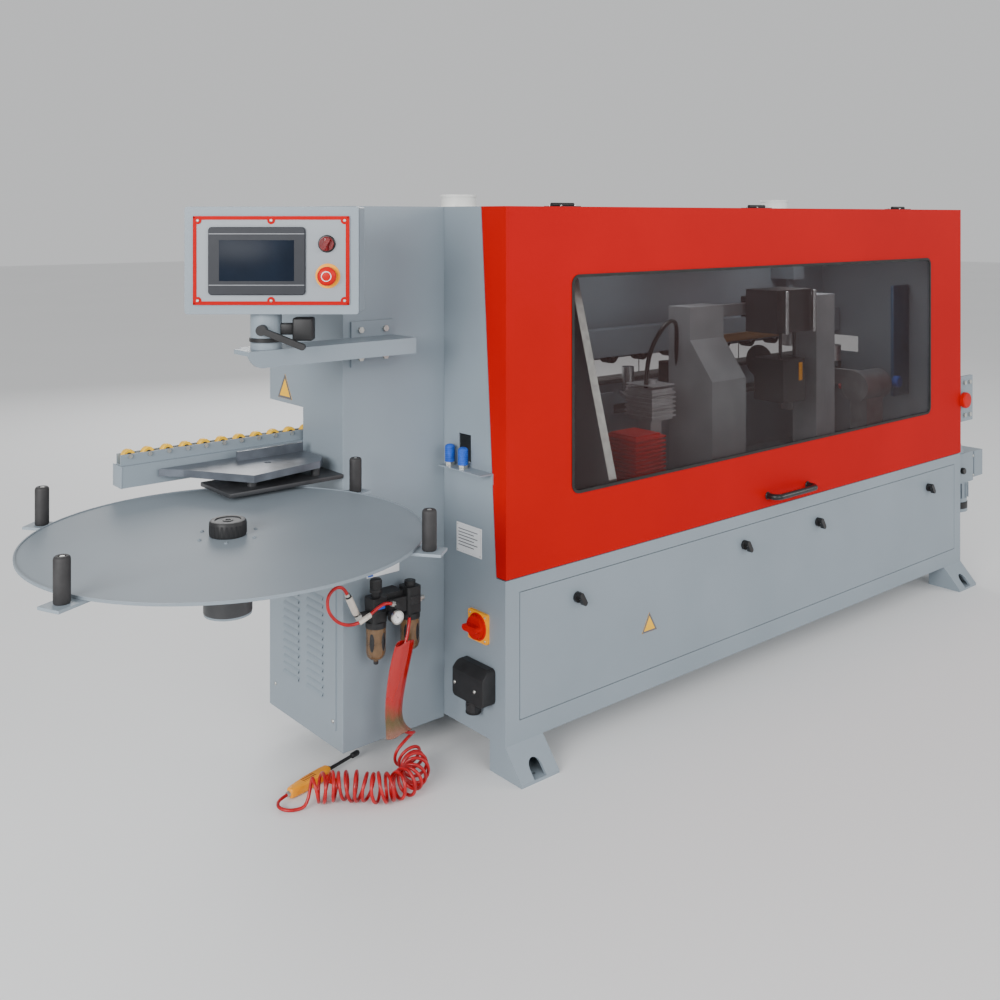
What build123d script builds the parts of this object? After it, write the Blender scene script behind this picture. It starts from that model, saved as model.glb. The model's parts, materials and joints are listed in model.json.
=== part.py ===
"""Through-feed edge banding machine, in millimetres.

Origin: centre of the four floor anchor holes, on the floor. +X is the feed direction (left infeed end to
right outfeed end), +Y points from the hood side to the workpiece side, +Z is up.
"""
import math
import os

from build123d import *

# ---- Body ----
body_length = 2270.0
body_depth = 600.0
work_height = 840.0
body_top = work_height + 567.0
cabinet_bottom = 77.0
cabinet_top = 485.0
deck = 12.0
sheet = 3.0
end_plate = 4.0
gap = 2.0
left = -body_length / 2
right = body_length / 2
front = -body_depth / 2
rear = body_depth / 2

# ---- Workpiece path ----
board_max = 50.0
edge_line = front + 440.0
slot_low = work_height - 12.0
slot_high = work_height + board_max

# ---- Service panel and its latches ----
panel_margin = 48.0
panel_low = 133.0
panel_high = 448.0
panel_depth = 18.0
latch_high = 394.0
latch_places = (left + 245, left + 945, right - 941, right - 241)
latch_shaft_r = 7.0
latch_disc_r = 14.0

# ---- Feet ----
foot_width = 124.0
foot_reach = 61.0
foot_plate = 8.0
foot_window_r = 20.0
anchor_r = 7.0
anchor_reach = 30.0

# ---- Hood ----
hood_bottom = cabinet_top + 3
hood_depth_top = 93.0
hood_depth_bottom = 34.0
hood_proud = 2.0
window_left = left + 228
window_right = right - 229
window_low = 666.0
window_high = 1227.0
window_corner_r = 22.0
window_thick = 4.0
window_lap = 25.0
handle_x = 30.0
handle_z = 523.0
handle_length = 230.0
hinge_places = (left + 282, -1.0, right - 284)
hinge_length = 80.0
hinge_pin_r = 3.0
hinge_knuckle_r = 6.0
running_gap = 0.05

# ---- Rear cover and dust ports ----
port_r = 50.0
port_wall = 2.5
port_top = 1442.0
port_flange = 3.0
port_places = ((left + 186, front + 423), (right - 541, front + 453))
guide_places = (left + 330, right - 330)
guide_r = 15.0

# ---- Silencer shelf ----
shelf_top = 742.0

# ---- Mains inlet on the left end plate ----
inlet_place = (front + 98, 214.0)
inlet_width = 122.0
inlet_height = 90.0
inlet_depth = 42.0
inlet_slope = 20.0
inlet_corner_r = 12.0
gland_reach = 21.5
gland_outer_r = 19.0
gland_bore_r = 12.0
gland_length = 32.0

# ---- Infeed tower ----
tower_length = 311.0
tower_left = left - tower_length
tower_front = front + 247
tower_bottom = 69.0
tower_rear = rear + 14
tower_low_top = work_height - 105
neck_rear = edge_line - 1
louvre_place = (tower_front + 186, 302.0)
louvre_width = 312.0
louvre_height = 374.0
louvre_lap = 18.0
louvre_pitch = 20.0
louvre_rows = 13

# ---- Control box ----
box_width = 385.0
box_low = 1165.0
box_high = 1403.0
box_depth = 105.0
box_turn = 40.3
box_shift = 23.0
face_width = 344.0
face_height = 195.0
hmi_size = (214.0, 150.0)
hmi_place = (-31.0, -1.0)
selector_place = (123.0, 37.0)
selector_r = 7.0
stop_place = (125.0, -34.0)
stop_stem_r = 8.0
swivel = (left - 552, front + 185)
swivel_pin_r = 20.0
socket_r = 35.0
arm_top = 1084.0
arm_thick = 10.0
arm_width = 98.0
arm_end = 65.0
arm_start = left - 166
flange_drop = 38.0
bracket_place = (left - 228, 1067)
bracket_plate = 6.0
bolt_grid = (73.0, 69.0)
lever_z = arm_top + 45
lever_length = 98.0
lever_width = 14.0
lever_thick = 12.0
lever_stand = 8.0
lever_hub_r = 12.0
lever_slope = math.radians(-22)

# ---- Tape reel ----
reel_r = 400.0
reel_centre = (tower_left - 18 - reel_r, front + 16)
reel_top = work_height - 106
reel_thick = 4.0
post_turns = (20.0, 127.6, 204.0, 307.6)
post_ring_r = reel_r + 25
post_r = 14.5
post_height = 80.0
hub_r = 37.0
hub_height = 31.0
spindle_r = 12.5

# ---- Tape table and roller bar ----
table_top = work_height - 50
table_thick = 17.0
carrier_low = reel_top + 9
carrier_thick = 9.0
bar_start = left - 781
bar_size = 50.0
bar_low = work_height - 85
bar_front = edge_line + 1
wheel_r = 15.0
wheel_width = 18.0
wheel_pitch = 47.0
wheel_count = 15
channel_height = 25.0
channel_wall = 3.0

# ---- Feed ----
chain_thick = 12.0
chain_width = 80.0
drum_r = 45.0
chain_y = front + 530
drum_z = work_height - chain_thick - drum_r
drum_x = right - 90
shoe_x = left + 90
press_wheel_r = 30.0
press_pitch = 150.0
press_count = int((body_length - 320) // press_pitch) + 1
guide_z = body_top - 227
rod_top = body_top - 72

# ---- Working units on the deck ----
partition_x = left + 440
guard_x = left + 628
guard_y = front + 150
tank_x = left + 804
tank_y = front + 250
tank_low = work_height - 84
glue_roller_r = 20.0
press_roller_r = 35.0
column_x = left + 1068
rail_z = work_height + 220
saw_x = left + 1450
router_x = right - 558
buffer_x = right - 280

# ---- Compressed air ----
air_y = front + 200
filter_x = left - 246
lubricator_x = left - 144
bowl_r = 20.5
block = 42.0
gauge_place = (left - 218, 408)
gauge_r = 16.0
elbow_place = (left - 213.5, 433)
elbow_r = 7.0
hose_r = 4.0
coil_r = 37.0
sleeve_y = air_y - 38
sleeve_sections = (
    (340, left - 186, 48, 14),
    (264, left - 206, 58, 20),
    (196, left - 220, 52, 20),
    (124, left - 206, 66, 18),
)
loop_points = [
    (left - 220.5, air_y - 38, 437),
    (left - 241, air_y - 38, 446),
    (left - 265, air_y - 39, 440),
    (left - 292, air_y - 36, 423),
    (left - 319, air_y - 32, 411),
    (left - 348, air_y - 27, 412),
    (left - 374, air_y - 21, 427),
    (left - 390, air_y - 14, 452),
    (left - 389, air_y - 8, 478),
    (left - 376, air_y - 5, 494),
    (left - 355, air_y - 3, 500),
    (left - 336, air_y - 1, 490),
    (left - 326, air_y, 470),
]
coil_points = [
    (left - 167, front + 188, 50),
    (left - 170, front + 150, 41),
    (left - 186, front + 114, coil_r + 1),
    (left - 220, front + 91, coil_r + 1),
    (left - 262, front + 86, coil_r + 1),
    (left - 302, front + 106, coil_r + 1),
    (left - 334, front + 147, coil_r + 1),
    (left - 372, front + 182, coil_r + 1),
    (left - 418, front + 203, coil_r + 1),
]

# ---- Right end gearmotor ----
motor_front = front + 10
motor_r = 58.0
motor_x = right + 70
motor_y = motor_front + motor_r + 6
motor_low = 284.0
gearbox_low = 358.0
gearbox_top = 471.0
gearbox_length = 144.0
gearbox_width = 112.0
plate_reach = 117.0
plate_height = 172.0
plate_z = 684.0
plate_bolts = (right + 70, 684.0)
fin_count = 8


def seam_y(z, clearance=0.0):
    """Depth of the slanted seam between the hood and the body at a height."""
    share = (z - hood_bottom) / (body_top - hood_bottom)
    return front + hood_depth_bottom + share * (hood_depth_top - hood_depth_bottom) + clearance


# ---------------------------------------------------------------- base cabinet and feet
with BuildPart() as base_cabinet:
    with BuildSketch(Plane.XY.offset(cabinet_bottom)):
        Rectangle(body_length - 2 * end_plate, body_depth)
    extrude(amount=cabinet_top - cabinet_bottom)
    with BuildSketch(Plane.XY.offset(cabinet_bottom + sheet)):
        Rectangle(body_length - 2 * end_plate - 2 * sheet, body_depth - 2 * sheet)
    extrude(amount=cabinet_top - cabinet_bottom - sheet - deck, mode=Mode.SUBTRACT)
    with BuildSketch(Plane.XZ.offset(-front)):
        with Locations((0, (panel_low + panel_high) / 2)):
            Rectangle(body_length - 2 * panel_margin + 2 * gap, panel_high - panel_low + 2 * gap)
    extrude(amount=-sheet, mode=Mode.SUBTRACT)

with BuildPart() as floor_feet:
    for side in (-1, 1):
        foot_x = side * (body_length - foot_width) / 2
        for end in (-1, 1):
            face = end * body_depth / 2
            toe = face + end * foot_reach
            heel = face - end * 60
            with BuildSketch(Plane.YZ.offset(foot_x - foot_width / 2)):
                with BuildLine():
                    Polyline(
                        (toe, 0), (heel, 0), (heel, cabinet_bottom), (face, cabinet_bottom),
                        (toe, foot_plate), close=True,
                    )
                make_face()
            extrude(amount=foot_width)
            with BuildSketch(Plane.YZ.offset(foot_x - foot_width / 2 + foot_plate)):
                with BuildLine():
                    Polyline(
                        (toe - end * 10, foot_plate), (heel + end * foot_plate, foot_plate),
                        (heel + end * foot_plate, cabinet_bottom - foot_plate),
                        (face - end * 4, cabinet_bottom - foot_plate), close=True,
                    )
                make_face()
            extrude(amount=foot_width - 2 * foot_plate, mode=Mode.SUBTRACT)
            with BuildSketch(Plane.XZ.offset(-face)):
                with BuildLine():
                    window_arc = CenterArc(
                        (foot_x, foot_plate + 18), foot_window_r, 0, 180,
                    )
                    Polyline(
                        window_arc @ 1, (foot_x - foot_window_r, foot_plate),
                        (foot_x + foot_window_r, foot_plate), window_arc @ 0,
                    )
                make_face()
            extrude(amount=-end * foot_reach, mode=Mode.SUBTRACT)
            with Locations((foot_x, face + end * anchor_reach, foot_plate)):
                Cylinder(anchor_r, 4 * foot_plate, mode=Mode.SUBTRACT)

# ---------------------------------------------------------------- end plates and rear cover
end_outline = (
    (front, cabinet_bottom),
    (rear, cabinet_bottom),
    (rear, slot_low),
    (edge_line - 10, slot_low),
    (edge_line - 10, slot_high + gap),
    (rear, slot_high + gap),
    (rear, body_top),
    (seam_y(body_top, gap), body_top),
    (seam_y(hood_bottom, gap), hood_bottom),
    (seam_y(hood_bottom, gap), cabinet_top),
    (front, cabinet_top),
)

with BuildPart() as left_end_plate:
    with BuildSketch(Plane.YZ.offset(left)):
        with BuildLine():
            Polyline(*end_outline, close=True)
        make_face()
        with Locations((front + 160, 789)):
            Rectangle(50, 70, mode=Mode.SUBTRACT)
    extrude(amount=end_plate)
    # Small welded shelf that carries the exhaust silencers.
    with BuildSketch(Plane.XY.offset(shelf_top - sheet)):
        with Locations((left - 21, front + 131)):
            Rectangle(42, 170)
    extrude(amount=sheet)
    with BuildSketch(Plane.XY.offset(shelf_top - sheet)):
        with Locations((left - sheet / 2, front + 131)):
            Rectangle(sheet, 170)
    extrude(amount=-25)

with BuildPart() as right_end_plate:
    with BuildSketch(Plane.YZ.offset(right - end_plate)):
        with BuildLine():
            Polyline(*end_outline, close=True)
        make_face()
    extrude(amount=end_plate)

inner_length = body_length - 2 * end_plate
with BuildPart() as rear_cover:
    roof_front = seam_y(body_top, gap)
    with BuildSketch(Plane.XY.offset(body_top - sheet)):
        with Locations((0, (roof_front + rear) / 2)):
            Rectangle(inner_length, rear - roof_front)
        with Locations(*port_places):
            Circle(port_r, mode=Mode.SUBTRACT)
    extrude(amount=sheet)
    with BuildSketch(Plane.XZ.offset(-rear)):
        with Locations((0, (slot_high + gap + body_top) / 2)):
            Rectangle(inner_length, body_top - slot_high - gap)
    extrude(amount=sheet)
    # Lower skirt below the workpiece slot.
    with BuildSketch(Plane.XZ.offset(-rear)):
        with Locations((0, (cabinet_top + slot_low) / 2)):
            Rectangle(inner_length, slot_low - cabinet_top)
    extrude(amount=sheet)
    # Two welded guide brackets for the pressure beam's rods.
    for guide_x in guide_places:
        with Locations((guide_x, (chain_y + rear - sheet) / 2 - 20, guide_z)):
            Box(70, rear - sheet - chain_y + 40, 90)
        with Locations((guide_x, chain_y, guide_z)):
            Cylinder(guide_r + running_gap, 100, mode=Mode.SUBTRACT)

with BuildPart() as dust_ports:
    for port_x, port_y in port_places:
        with BuildSketch(Plane.XY.offset(body_top - 30)):
            with Locations((port_x, port_y)):
                Circle(port_r)
                Circle(port_r - port_wall, mode=Mode.SUBTRACT)
        extrude(amount=port_top - body_top + 30)
        with BuildSketch(Plane.XY.offset(body_top)):
            with Locations((port_x, port_y)):
                Circle(port_r + 10)
                Circle(port_r - port_wall, mode=Mode.SUBTRACT)
        extrude(amount=port_flange)

# ---------------------------------------------------------------- infeed tower
tower_outline = (
    (tower_front, tower_bottom),
    (tower_rear, tower_bottom),
    (tower_rear, tower_low_top),
    (neck_rear, tower_low_top),
    (neck_rear, slot_high),
    (tower_rear, slot_high),
    (tower_rear, body_top),
    (tower_front, body_top),
)
with BuildPart() as infeed_tower:
    with BuildSketch(Plane.YZ.offset(left)):
        with BuildLine():
            Polyline(*tower_outline, close=True)
        make_face()
    extrude(amount=-tower_length)
    with BuildSketch(Plane.YZ.offset(left)):
        with BuildLine():
            Polyline(*tower_outline, close=True)
        make_face()
        offset(amount=-sheet, mode=Mode.REPLACE, kind=Kind.INTERSECTION)
    extrude(amount=-(tower_length - sheet), mode=Mode.SUBTRACT)
    with BuildSketch(Plane.YZ.offset(left - tower_length)):
        with Locations(louvre_place):
            Rectangle(louvre_width - 2 * louvre_lap, louvre_height - 2 * louvre_lap)
    extrude(amount=sheet, mode=Mode.SUBTRACT)

with BuildPart() as louvre_panel:
    with BuildSketch(Plane.YZ.offset(left - tower_length)):
        with Locations(louvre_place):
            Rectangle(louvre_width, louvre_height)
            with GridLocations(118, louvre_pitch, 2, louvre_rows):
                Rectangle(74, 4, mode=Mode.SUBTRACT)
    extrude(amount=-gap)

# ---------------------------------------------------------------- control bracket and box
arm_left = swivel[0] - arm_end
arm_front = tower_front - bracket_plate - arm_width
with BuildPart() as control_bracket:
    with BuildSketch(Plane.XZ.offset(-tower_front)):
        with Locations(bracket_place):
            Rectangle(124, 112)
            with GridLocations(*bolt_grid, 2, 2):
                Circle(5.5, mode=Mode.SUBTRACT)
    extrude(amount=bracket_plate)
    with BuildSketch(Plane.XY.offset(arm_top - arm_thick)):
        with Locations(((arm_start + arm_left) / 2, arm_front + arm_width / 2)):
            Rectangle(arm_start - arm_left, arm_width)
        with Locations((arm_left, arm_front + arm_width)):
            Circle(28, mode=Mode.SUBTRACT)
    extrude(amount=arm_thick)
    # Front flange of the arm, rounded at its free end.
    with BuildSketch(Plane.XZ.offset(-arm_front)):
        with BuildLine():
            flange_low = arm_top - flange_drop
            flange_arc = RadiusArc(
                (arm_left, arm_top - arm_thick), (arm_left + 45, flange_low), -40,
            )
            Polyline(
                flange_arc @ 1, (arm_start, flange_low), (arm_start, arm_top - arm_thick),
                flange_arc @ 0,
            )
        make_face()
    extrude(amount=-bracket_plate)
    with BuildSketch(Plane.XY.offset(arm_top)):
        with Locations(swivel):
            Circle(socket_r)
    extrude(amount=14)
    with BuildSketch(Plane.XY.offset(arm_top + 14)):
        with Locations(swivel):
            Circle(swivel_pin_r)
    extrude(amount=box_low - arm_top - 14 - gap)

turn = math.radians(box_turn)
box_normal = (-math.sin(turn), -math.cos(turn), 0)
box_across = (math.cos(turn), -math.sin(turn), 0)
face_reach = box_depth / 2
box_plane = Plane(
    origin=(
        swivel[0] + face_reach * box_normal[0] + box_shift * box_across[0],
        swivel[1] + face_reach * box_normal[1] + box_shift * box_across[1],
        (box_low + box_high) / 2,
    ),
    x_dir=box_across,
    z_dir=box_normal,
)

with BuildPart() as control_box:
    with BuildSketch(box_plane):
        RectangleRounded(box_width, box_high - box_low, 6)
    extrude(amount=-box_depth)
    with BuildSketch(box_plane.offset(-box_depth + sheet)):
        Rectangle(box_width - 2 * sheet, box_high - box_low - 2 * sheet)
    extrude(amount=box_depth - 2 * sheet, mode=Mode.SUBTRACT)
    with BuildSketch(box_plane):
        Rectangle(face_width, face_height)
    extrude(amount=sheet)
    with BuildSketch(box_plane.offset(sheet)):
        with Locations(hmi_place):
            Rectangle(hmi_size[0] - 16, hmi_size[1] - 16)
        with Locations(selector_place):
            Circle(selector_r + 0.4)
        with Locations(stop_place):
            Circle(stop_stem_r + 0.4)
    extrude(amount=-2 * sheet - 1, mode=Mode.SUBTRACT)
    # Swivel socket under the box.
    with BuildSketch(Plane.XY.offset(arm_top + 14.4)):
        with Locations(swivel):
            Circle(socket_r)
            Circle(swivel_pin_r + running_gap, mode=Mode.SUBTRACT)
    extrude(amount=box_low - arm_top - 14.4)

with BuildPart() as touch_panel:
    with BuildSketch(box_plane.offset(sheet)):
        with Locations(hmi_place):
            RectangleRounded(hmi_size[0], hmi_size[1], 8)
    extrude(amount=7)
    with BuildSketch(box_plane.offset(sheet)):
        with Locations(hmi_place):
            Rectangle(hmi_size[0] - 18, hmi_size[1] - 18)
    extrude(amount=-38)

with BuildPart() as selector_knob:
    with BuildSketch(box_plane.offset(sheet + 0.4)):
        with Locations(selector_place):
            Circle(16)
    extrude(amount=10)
    with BuildSketch(box_plane.offset(sheet + 10.4)):
        with Locations(selector_place):
            SlotOverall(28, 9, rotation=60)
    extrude(amount=12)
    with BuildSketch(box_plane.offset(sheet + 0.4)):
        with Locations(selector_place):
            Circle(selector_r)
    extrude(amount=-25)

with BuildPart() as stop_button:
    with BuildSketch(box_plane.offset(sheet + 13)):
        with Locations(stop_place):
            Circle(20)
    extrude(amount=14)
    fillet(stop_button.faces().sort_by(Axis(box_plane.origin, box_normal))[-1].edges(), 5)
    with BuildSketch(box_plane.offset(sheet + 13)):
        with Locations(stop_place):
            Circle(stop_stem_r)
    extrude(amount=-35)

lever_plane = Plane(
    origin=(
        swivel[0] + (socket_r + 0.4) * box_normal[0],
        swivel[1] + (socket_r + 0.4) * box_normal[1],
        lever_z,
    ),
    x_dir=box_across,
    z_dir=box_normal,
)
with BuildPart() as clamp_lever:
    # Clamp screw with a straight arm that slopes down to its free end.
    with BuildSketch(lever_plane):
        Circle(lever_hub_r)
    extrude(amount=lever_stand + lever_thick)
    with BuildSketch(lever_plane.offset(lever_stand)):
        with Locations((lever_length / 2 * math.cos(lever_slope), lever_length / 2 * math.sin(lever_slope))):
            SlotOverall(lever_length + lever_width, lever_width, rotation=math.degrees(lever_slope))
    extrude(amount=lever_thick)

# ---------------------------------------------------------------- items on the left end plate
switch_place = (front + 99, 349.0)
with BuildPart() as mains_switch_plate:
    with BuildSketch(Plane.YZ.offset(left)):
        with Locations(switch_place):
            RectangleRounded(75, 75, 5)
            Circle(8.4, mode=Mode.SUBTRACT)
    extrude(amount=-8)

with BuildPart() as mains_knob:
    with BuildSketch(Plane.YZ.offset(left - 8.4)):
        with Locations(switch_place):
            Circle(29)
    extrude(amount=-12)
    with BuildSketch(Plane.YZ.offset(left - 20.4)):
        with Locations(switch_place):
            SlotOverall(56, 16)
    extrude(amount=-16)
    with BuildSketch(Plane.YZ.offset(left - 8.4)):
        with Locations(switch_place):
            Circle(8)
    extrude(amount=8)

with BuildPart() as power_inlet:
    # Box with a sloped upper face, closed by a gland below.
    with BuildSketch(Plane.XZ.offset(-(inlet_place[0] + inlet_width / 2))):
        with BuildLine():
            Polyline(
                (left, inlet_place[1] - inlet_height / 2),
                (left - inlet_depth, inlet_place[1] - inlet_height / 2),
                (left - inlet_depth, inlet_place[1] + inlet_height / 2 - inlet_slope),
                (left - inlet_depth + inlet_slope, inlet_place[1] + inlet_height / 2),
                (left, inlet_place[1] + inlet_height / 2), close=True,
            )
        make_face()
    extrude(amount=inlet_width)
    fillet(power_inlet.edges().filter_by(Axis.X), inlet_corner_r)
    with BuildSketch(Plane.XY.offset(inlet_place[1] - inlet_height / 2)):
        with Locations((left - gland_reach, inlet_place[0])):
            Circle(gland_outer_r)
            Circle(gland_bore_r, mode=Mode.SUBTRACT)
    extrude(amount=-gland_length)

silencer_places = (front + 140, front + 194)
with BuildPart() as exhaust_silencers:
    for silencer_y in silencer_places:
        with BuildSketch(Plane.XY.offset(shelf_top)):
            with Locations((left - 22, silencer_y)):
                Circle(13)
        extrude(amount=54)
        fillet(exhaust_silencers.edges().filter_by(GeomType.CIRCLE).group_by(Axis.Z)[-1], 4)

# ---------------------------------------------------------------- compressed-air unit
with BuildPart() as air_unit:
    for unit_x, unit_top in ((filter_x, 452.0), (lubricator_x, 458.0)):
        with BuildSketch(Plane.XY.offset(392)):
            with Locations((unit_x, air_y)):
                RectangleRounded(block, block, 6)
        extrude(amount=unit_top - 392)
    with Locations(((filter_x + lubricator_x) / 2, air_y, 420)):
        Box(lubricator_x - filter_x - block, 30, 36)
    with Locations(((filter_x + lubricator_x) / 2, (air_y + tower_front) / 2, 440)):
        Box(60, tower_front - air_y, 20)
    with BuildSketch(Plane.XY.offset(452)):
        with Locations((filter_x, air_y)):
            Circle(11)
    extrude(amount=10)
    with BuildSketch(Plane.XY.offset(458)):
        with Locations((lubricator_x, air_y)):
            Circle(14)
    extrude(amount=12)
    # Pressure gauge on a short stub, facing forward.
    with BuildSketch(Plane.XZ.offset(-(air_y - 15))):
        with Locations(gauge_place):
            Circle(6)
    extrude(amount=18)
    with BuildSketch(Plane.XZ.offset(-(air_y - 33))):
        with Locations(gauge_place):
            Circle(gauge_r)
    extrude(amount=20)
    # Elbow where the loop hose starts.
    with BuildSketch(Plane.XZ.offset(-(air_y - 15))):
        with Locations(elbow_place):
            Circle(elbow_r)
    extrude(amount=29)
    # Port on the left side of the filter, and the clear fitting at the loop hose's end.
    with BuildSketch(Plane.YZ.offset(filter_x - block / 2)):
        with Locations((air_y, 414)):
            Circle(9)
    extrude(amount=-30)
    loop_end = Vector(*loop_points[-1])
    with BuildSketch(Plane(origin=loop_end, z_dir=loop_end - Vector(*loop_points[-2]))):
        Circle(7)
    extrude(amount=60)

with BuildPart() as air_bowls:
    for unit_x in (filter_x, lubricator_x):
        with BuildSketch(Plane.XY.offset(392)):
            with Locations((unit_x, air_y)):
                Circle(bowl_r)
        extrude(amount=-95)
    fillet(air_bowls.edges().filter_by(GeomType.CIRCLE).group_by(Axis.Z)[0], 9)

with BuildPart() as regulator_knob:
    with BuildSketch(Plane.XY.offset(462.4)):
        with Locations((filter_x, air_y)):
            Circle(16)
    extrude(amount=34)
    chamfer(regulator_knob.faces().sort_by(Axis.Z)[-1].edges(), 3)

# ---------------------------------------------------------------- tape table, reel and roller bar
table_outline = (
    (tower_left - 388, edge_line - 8),
    (tower_left - 347, front + 386),
    (tower_left - 248, front + 228),
    (tower_left - 55, front + 262),
    (tower_left - 25, front + 300),
    (tower_left - 25, edge_line - 8),
)
with BuildPart() as tape_table:
    with BuildSketch(Plane.XY.offset(table_top - table_thick)):
        with BuildLine():
            Polyline(*table_outline, close=True)
        make_face()
        with Locations((tower_left - 159, front + 330)):
            Circle(9, mode=Mode.SUBTRACT)
    extrude(amount=table_thick)
    with BuildSketch(Plane.XY.offset(table_top)):
        with Locations((tower_left - 119, front + 392)):
            Rectangle(180, 8)
    extrude(amount=22)
    # Black carrier plate under the table, on four spacers.
    with BuildSketch(Plane.XY.offset(carrier_low)):
        with Locations((tower_left - 150, front + 320)):
            Rectangle(300, 150)
    extrude(amount=carrier_thick)
    with BuildSketch(Plane.XY.offset(carrier_low + carrier_thick)):
        with Locations((tower_left - 139, front + 330)):
            with GridLocations(170, 90, 2, 2):
                Circle(10)
    extrude(amount=table_top - table_thick - carrier_low - carrier_thick)
    with BuildSketch(Plane.XY.offset(carrier_low)):
        with Locations((tower_left - 279, front + 300)):
            Circle(6)
    extrude(amount=-5)

reel_low = reel_top - reel_thick
arm_high = reel_low - 0.4
arm_low = arm_high - 6
with BuildPart() as reel_bracket:
    with BuildSketch(Plane.XY.offset(reel_top - 94)):
        with BuildLine():
            Polyline(
                (tower_left, tower_front + 20),
                (tower_left, tower_front + 150),
                (reel_centre[0] + 20, reel_centre[1] + 55),
                (reel_centre[0] - 50, reel_centre[1] + 20),
                (reel_centre[0], reel_centre[1] - 50),
                close=True,
            )
        make_face()
    extrude(amount=12)
    with BuildSketch(Plane.YZ.offset(tower_left - 8)):
        with Locations((tower_front + 85, reel_top - 109)):
            Rectangle(150, 110)
    extrude(amount=8)
    with BuildSketch(Plane.XY.offset(reel_top - 159)):
        with Locations(reel_centre):
            Circle(48)
    extrude(amount=arm_low - 6 - reel_top + 159)
    with BuildSketch(Plane.XY.offset(arm_low - 6)):
        with Locations(reel_centre):
            Circle(30)
    extrude(amount=6)
    with BuildSketch(Plane.XY.offset(arm_low)):
        with Locations(reel_centre):
            Circle(spindle_r)
    extrude(amount=reel_top + 12 - arm_low)

with BuildPart() as reel_disc:
    with BuildSketch(Plane.XY.offset(reel_low)):
        with Locations(reel_centre):
            Circle(reel_r)
            Circle(spindle_r + running_gap, mode=Mode.SUBTRACT)
    extrude(amount=reel_thick)

with BuildPart() as reel_arms:
    with BuildSketch(Plane.XY.offset(arm_low)):
        with Locations(reel_centre):
            for arm_turn in post_turns:
                Rectangle(
                    post_ring_r + 30, 50, rotation=arm_turn, align=(Align.MIN, Align.CENTER),
                )
            Circle(50)
            Circle(spindle_r, mode=Mode.SUBTRACT)
    extrude(amount=6)

with BuildPart() as grip_posts:
    with BuildSketch(Plane.XY.offset(arm_high)):
        with Locations(reel_centre):
            for arm_turn in post_turns:
                with PolarLocations(post_ring_r, 1, start_angle=arm_turn):
                    Circle(post_r)
    extrude(amount=post_height)
    fillet(grip_posts.edges().filter_by(GeomType.CIRCLE).group_by(Axis.Z)[-1], 4)

with BuildPart() as hub_knob:
    with BuildSketch(Plane.XY.offset(reel_top)):
        with Locations(reel_centre):
            Circle(hub_r)
            Circle(spindle_r + running_gap, mode=Mode.SUBTRACT)
    extrude(amount=hub_height - 8)
    with BuildSketch(Plane.XY.offset(reel_top + hub_height - 8)):
        with Locations(reel_centre):
            Circle(hub_r)
    extrude(amount=8)
    chamfer(hub_knob.faces().sort_by(Axis.Z)[-1].edges(), 3)

channel_y = bar_front + 25
channel_low = bar_low + bar_size
wheel_z = work_height - wheel_r
axle_r = 3.0
bar_length = -bar_start + left - 20
bar_middle = bar_start + bar_length / 2
wheel_first = bar_start + 22
with BuildPart() as roller_bar:
    with BuildSketch(Plane.YZ.offset(bar_start)):
        with Locations((bar_front + bar_size / 2, bar_low + bar_size / 2)):
            Rectangle(bar_size, bar_size)
            Rectangle(bar_size - 2 * sheet, bar_size - 2 * sheet, mode=Mode.SUBTRACT)
        with Locations((channel_y, channel_low + channel_wall / 2)):
            Rectangle(wheel_width + 2 + 2 * channel_wall, channel_wall)
        for side in (-1, 1):
            with Locations(
                (channel_y + side * (wheel_width / 2 + 1 + channel_wall / 2), channel_low + channel_height / 2)
            ):
                Rectangle(channel_wall, channel_height)
    extrude(amount=bar_length)
    with Locations((bar_middle + 270, bar_front + bar_size / 2, (tower_low_top + bar_low) / 2)):
        Box(200, bar_size, bar_low - tower_low_top)
    for wheel_number in range(wheel_count):
        with Locations((wheel_first + wheel_number * wheel_pitch, channel_y, wheel_z)):
            Cylinder(axle_r, 60, rotation=(90, 0, 0), mode=Mode.SUBTRACT)

with BuildPart() as support_wheels:
    for wheel_number in range(wheel_count):
        with BuildSketch(Plane.XZ.offset(-(channel_y + wheel_width / 2))):
            with Locations((wheel_first + wheel_number * wheel_pitch, wheel_z)):
                Circle(wheel_r)
                Circle(axle_r, mode=Mode.SUBTRACT)
        extrude(amount=wheel_width)

# ---------------------------------------------------------------- feed and pressure beams
beam_low = drum_z - drum_r + 16
beam_high = drum_z + drum_r - 2
with BuildPart() as feed_beam:
    beam_half = 24.0
    with Locations((((shoe_x + drum_x) / 2 - 40), chain_y, (beam_low + beam_high) / 2)):
        Box(drum_x - shoe_x - 60, 2 * beam_half, beam_high - beam_low)
    with Locations((shoe_x, chain_y, drum_z)):
        Cylinder(drum_r - 0.5, 40, rotation=(90, 0, 0))
    for leg in range(4):
        leg_x = shoe_x + 180 + leg * (drum_x - shoe_x - 420) / 3
        with Locations((leg_x, chain_y - chain_width / 2 - 15, (cabinet_top + drum_z + 20) / 2)):
            Box(90, 10, drum_z + 20 - cabinet_top)
        with Locations((leg_x, chain_y - chain_width / 2 + 3, drum_z)):
            Box(60, chain_width / 2 - 14, 30)

with BuildPart() as feed_chain:
    chain_middle = (shoe_x + drum_x) / 2
    chain_span = drum_x - shoe_x
    outer_r = drum_r + chain_thick
    with BuildSketch(Plane.XZ.offset(-(chain_y + chain_width / 2))):
        with Locations((chain_middle, drum_z)):
            SlotCenterToCenter(chain_span, 2 * outer_r)
            SlotCenterToCenter(chain_span, 2 * drum_r, mode=Mode.SUBTRACT)
    extrude(amount=chain_width)

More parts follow.
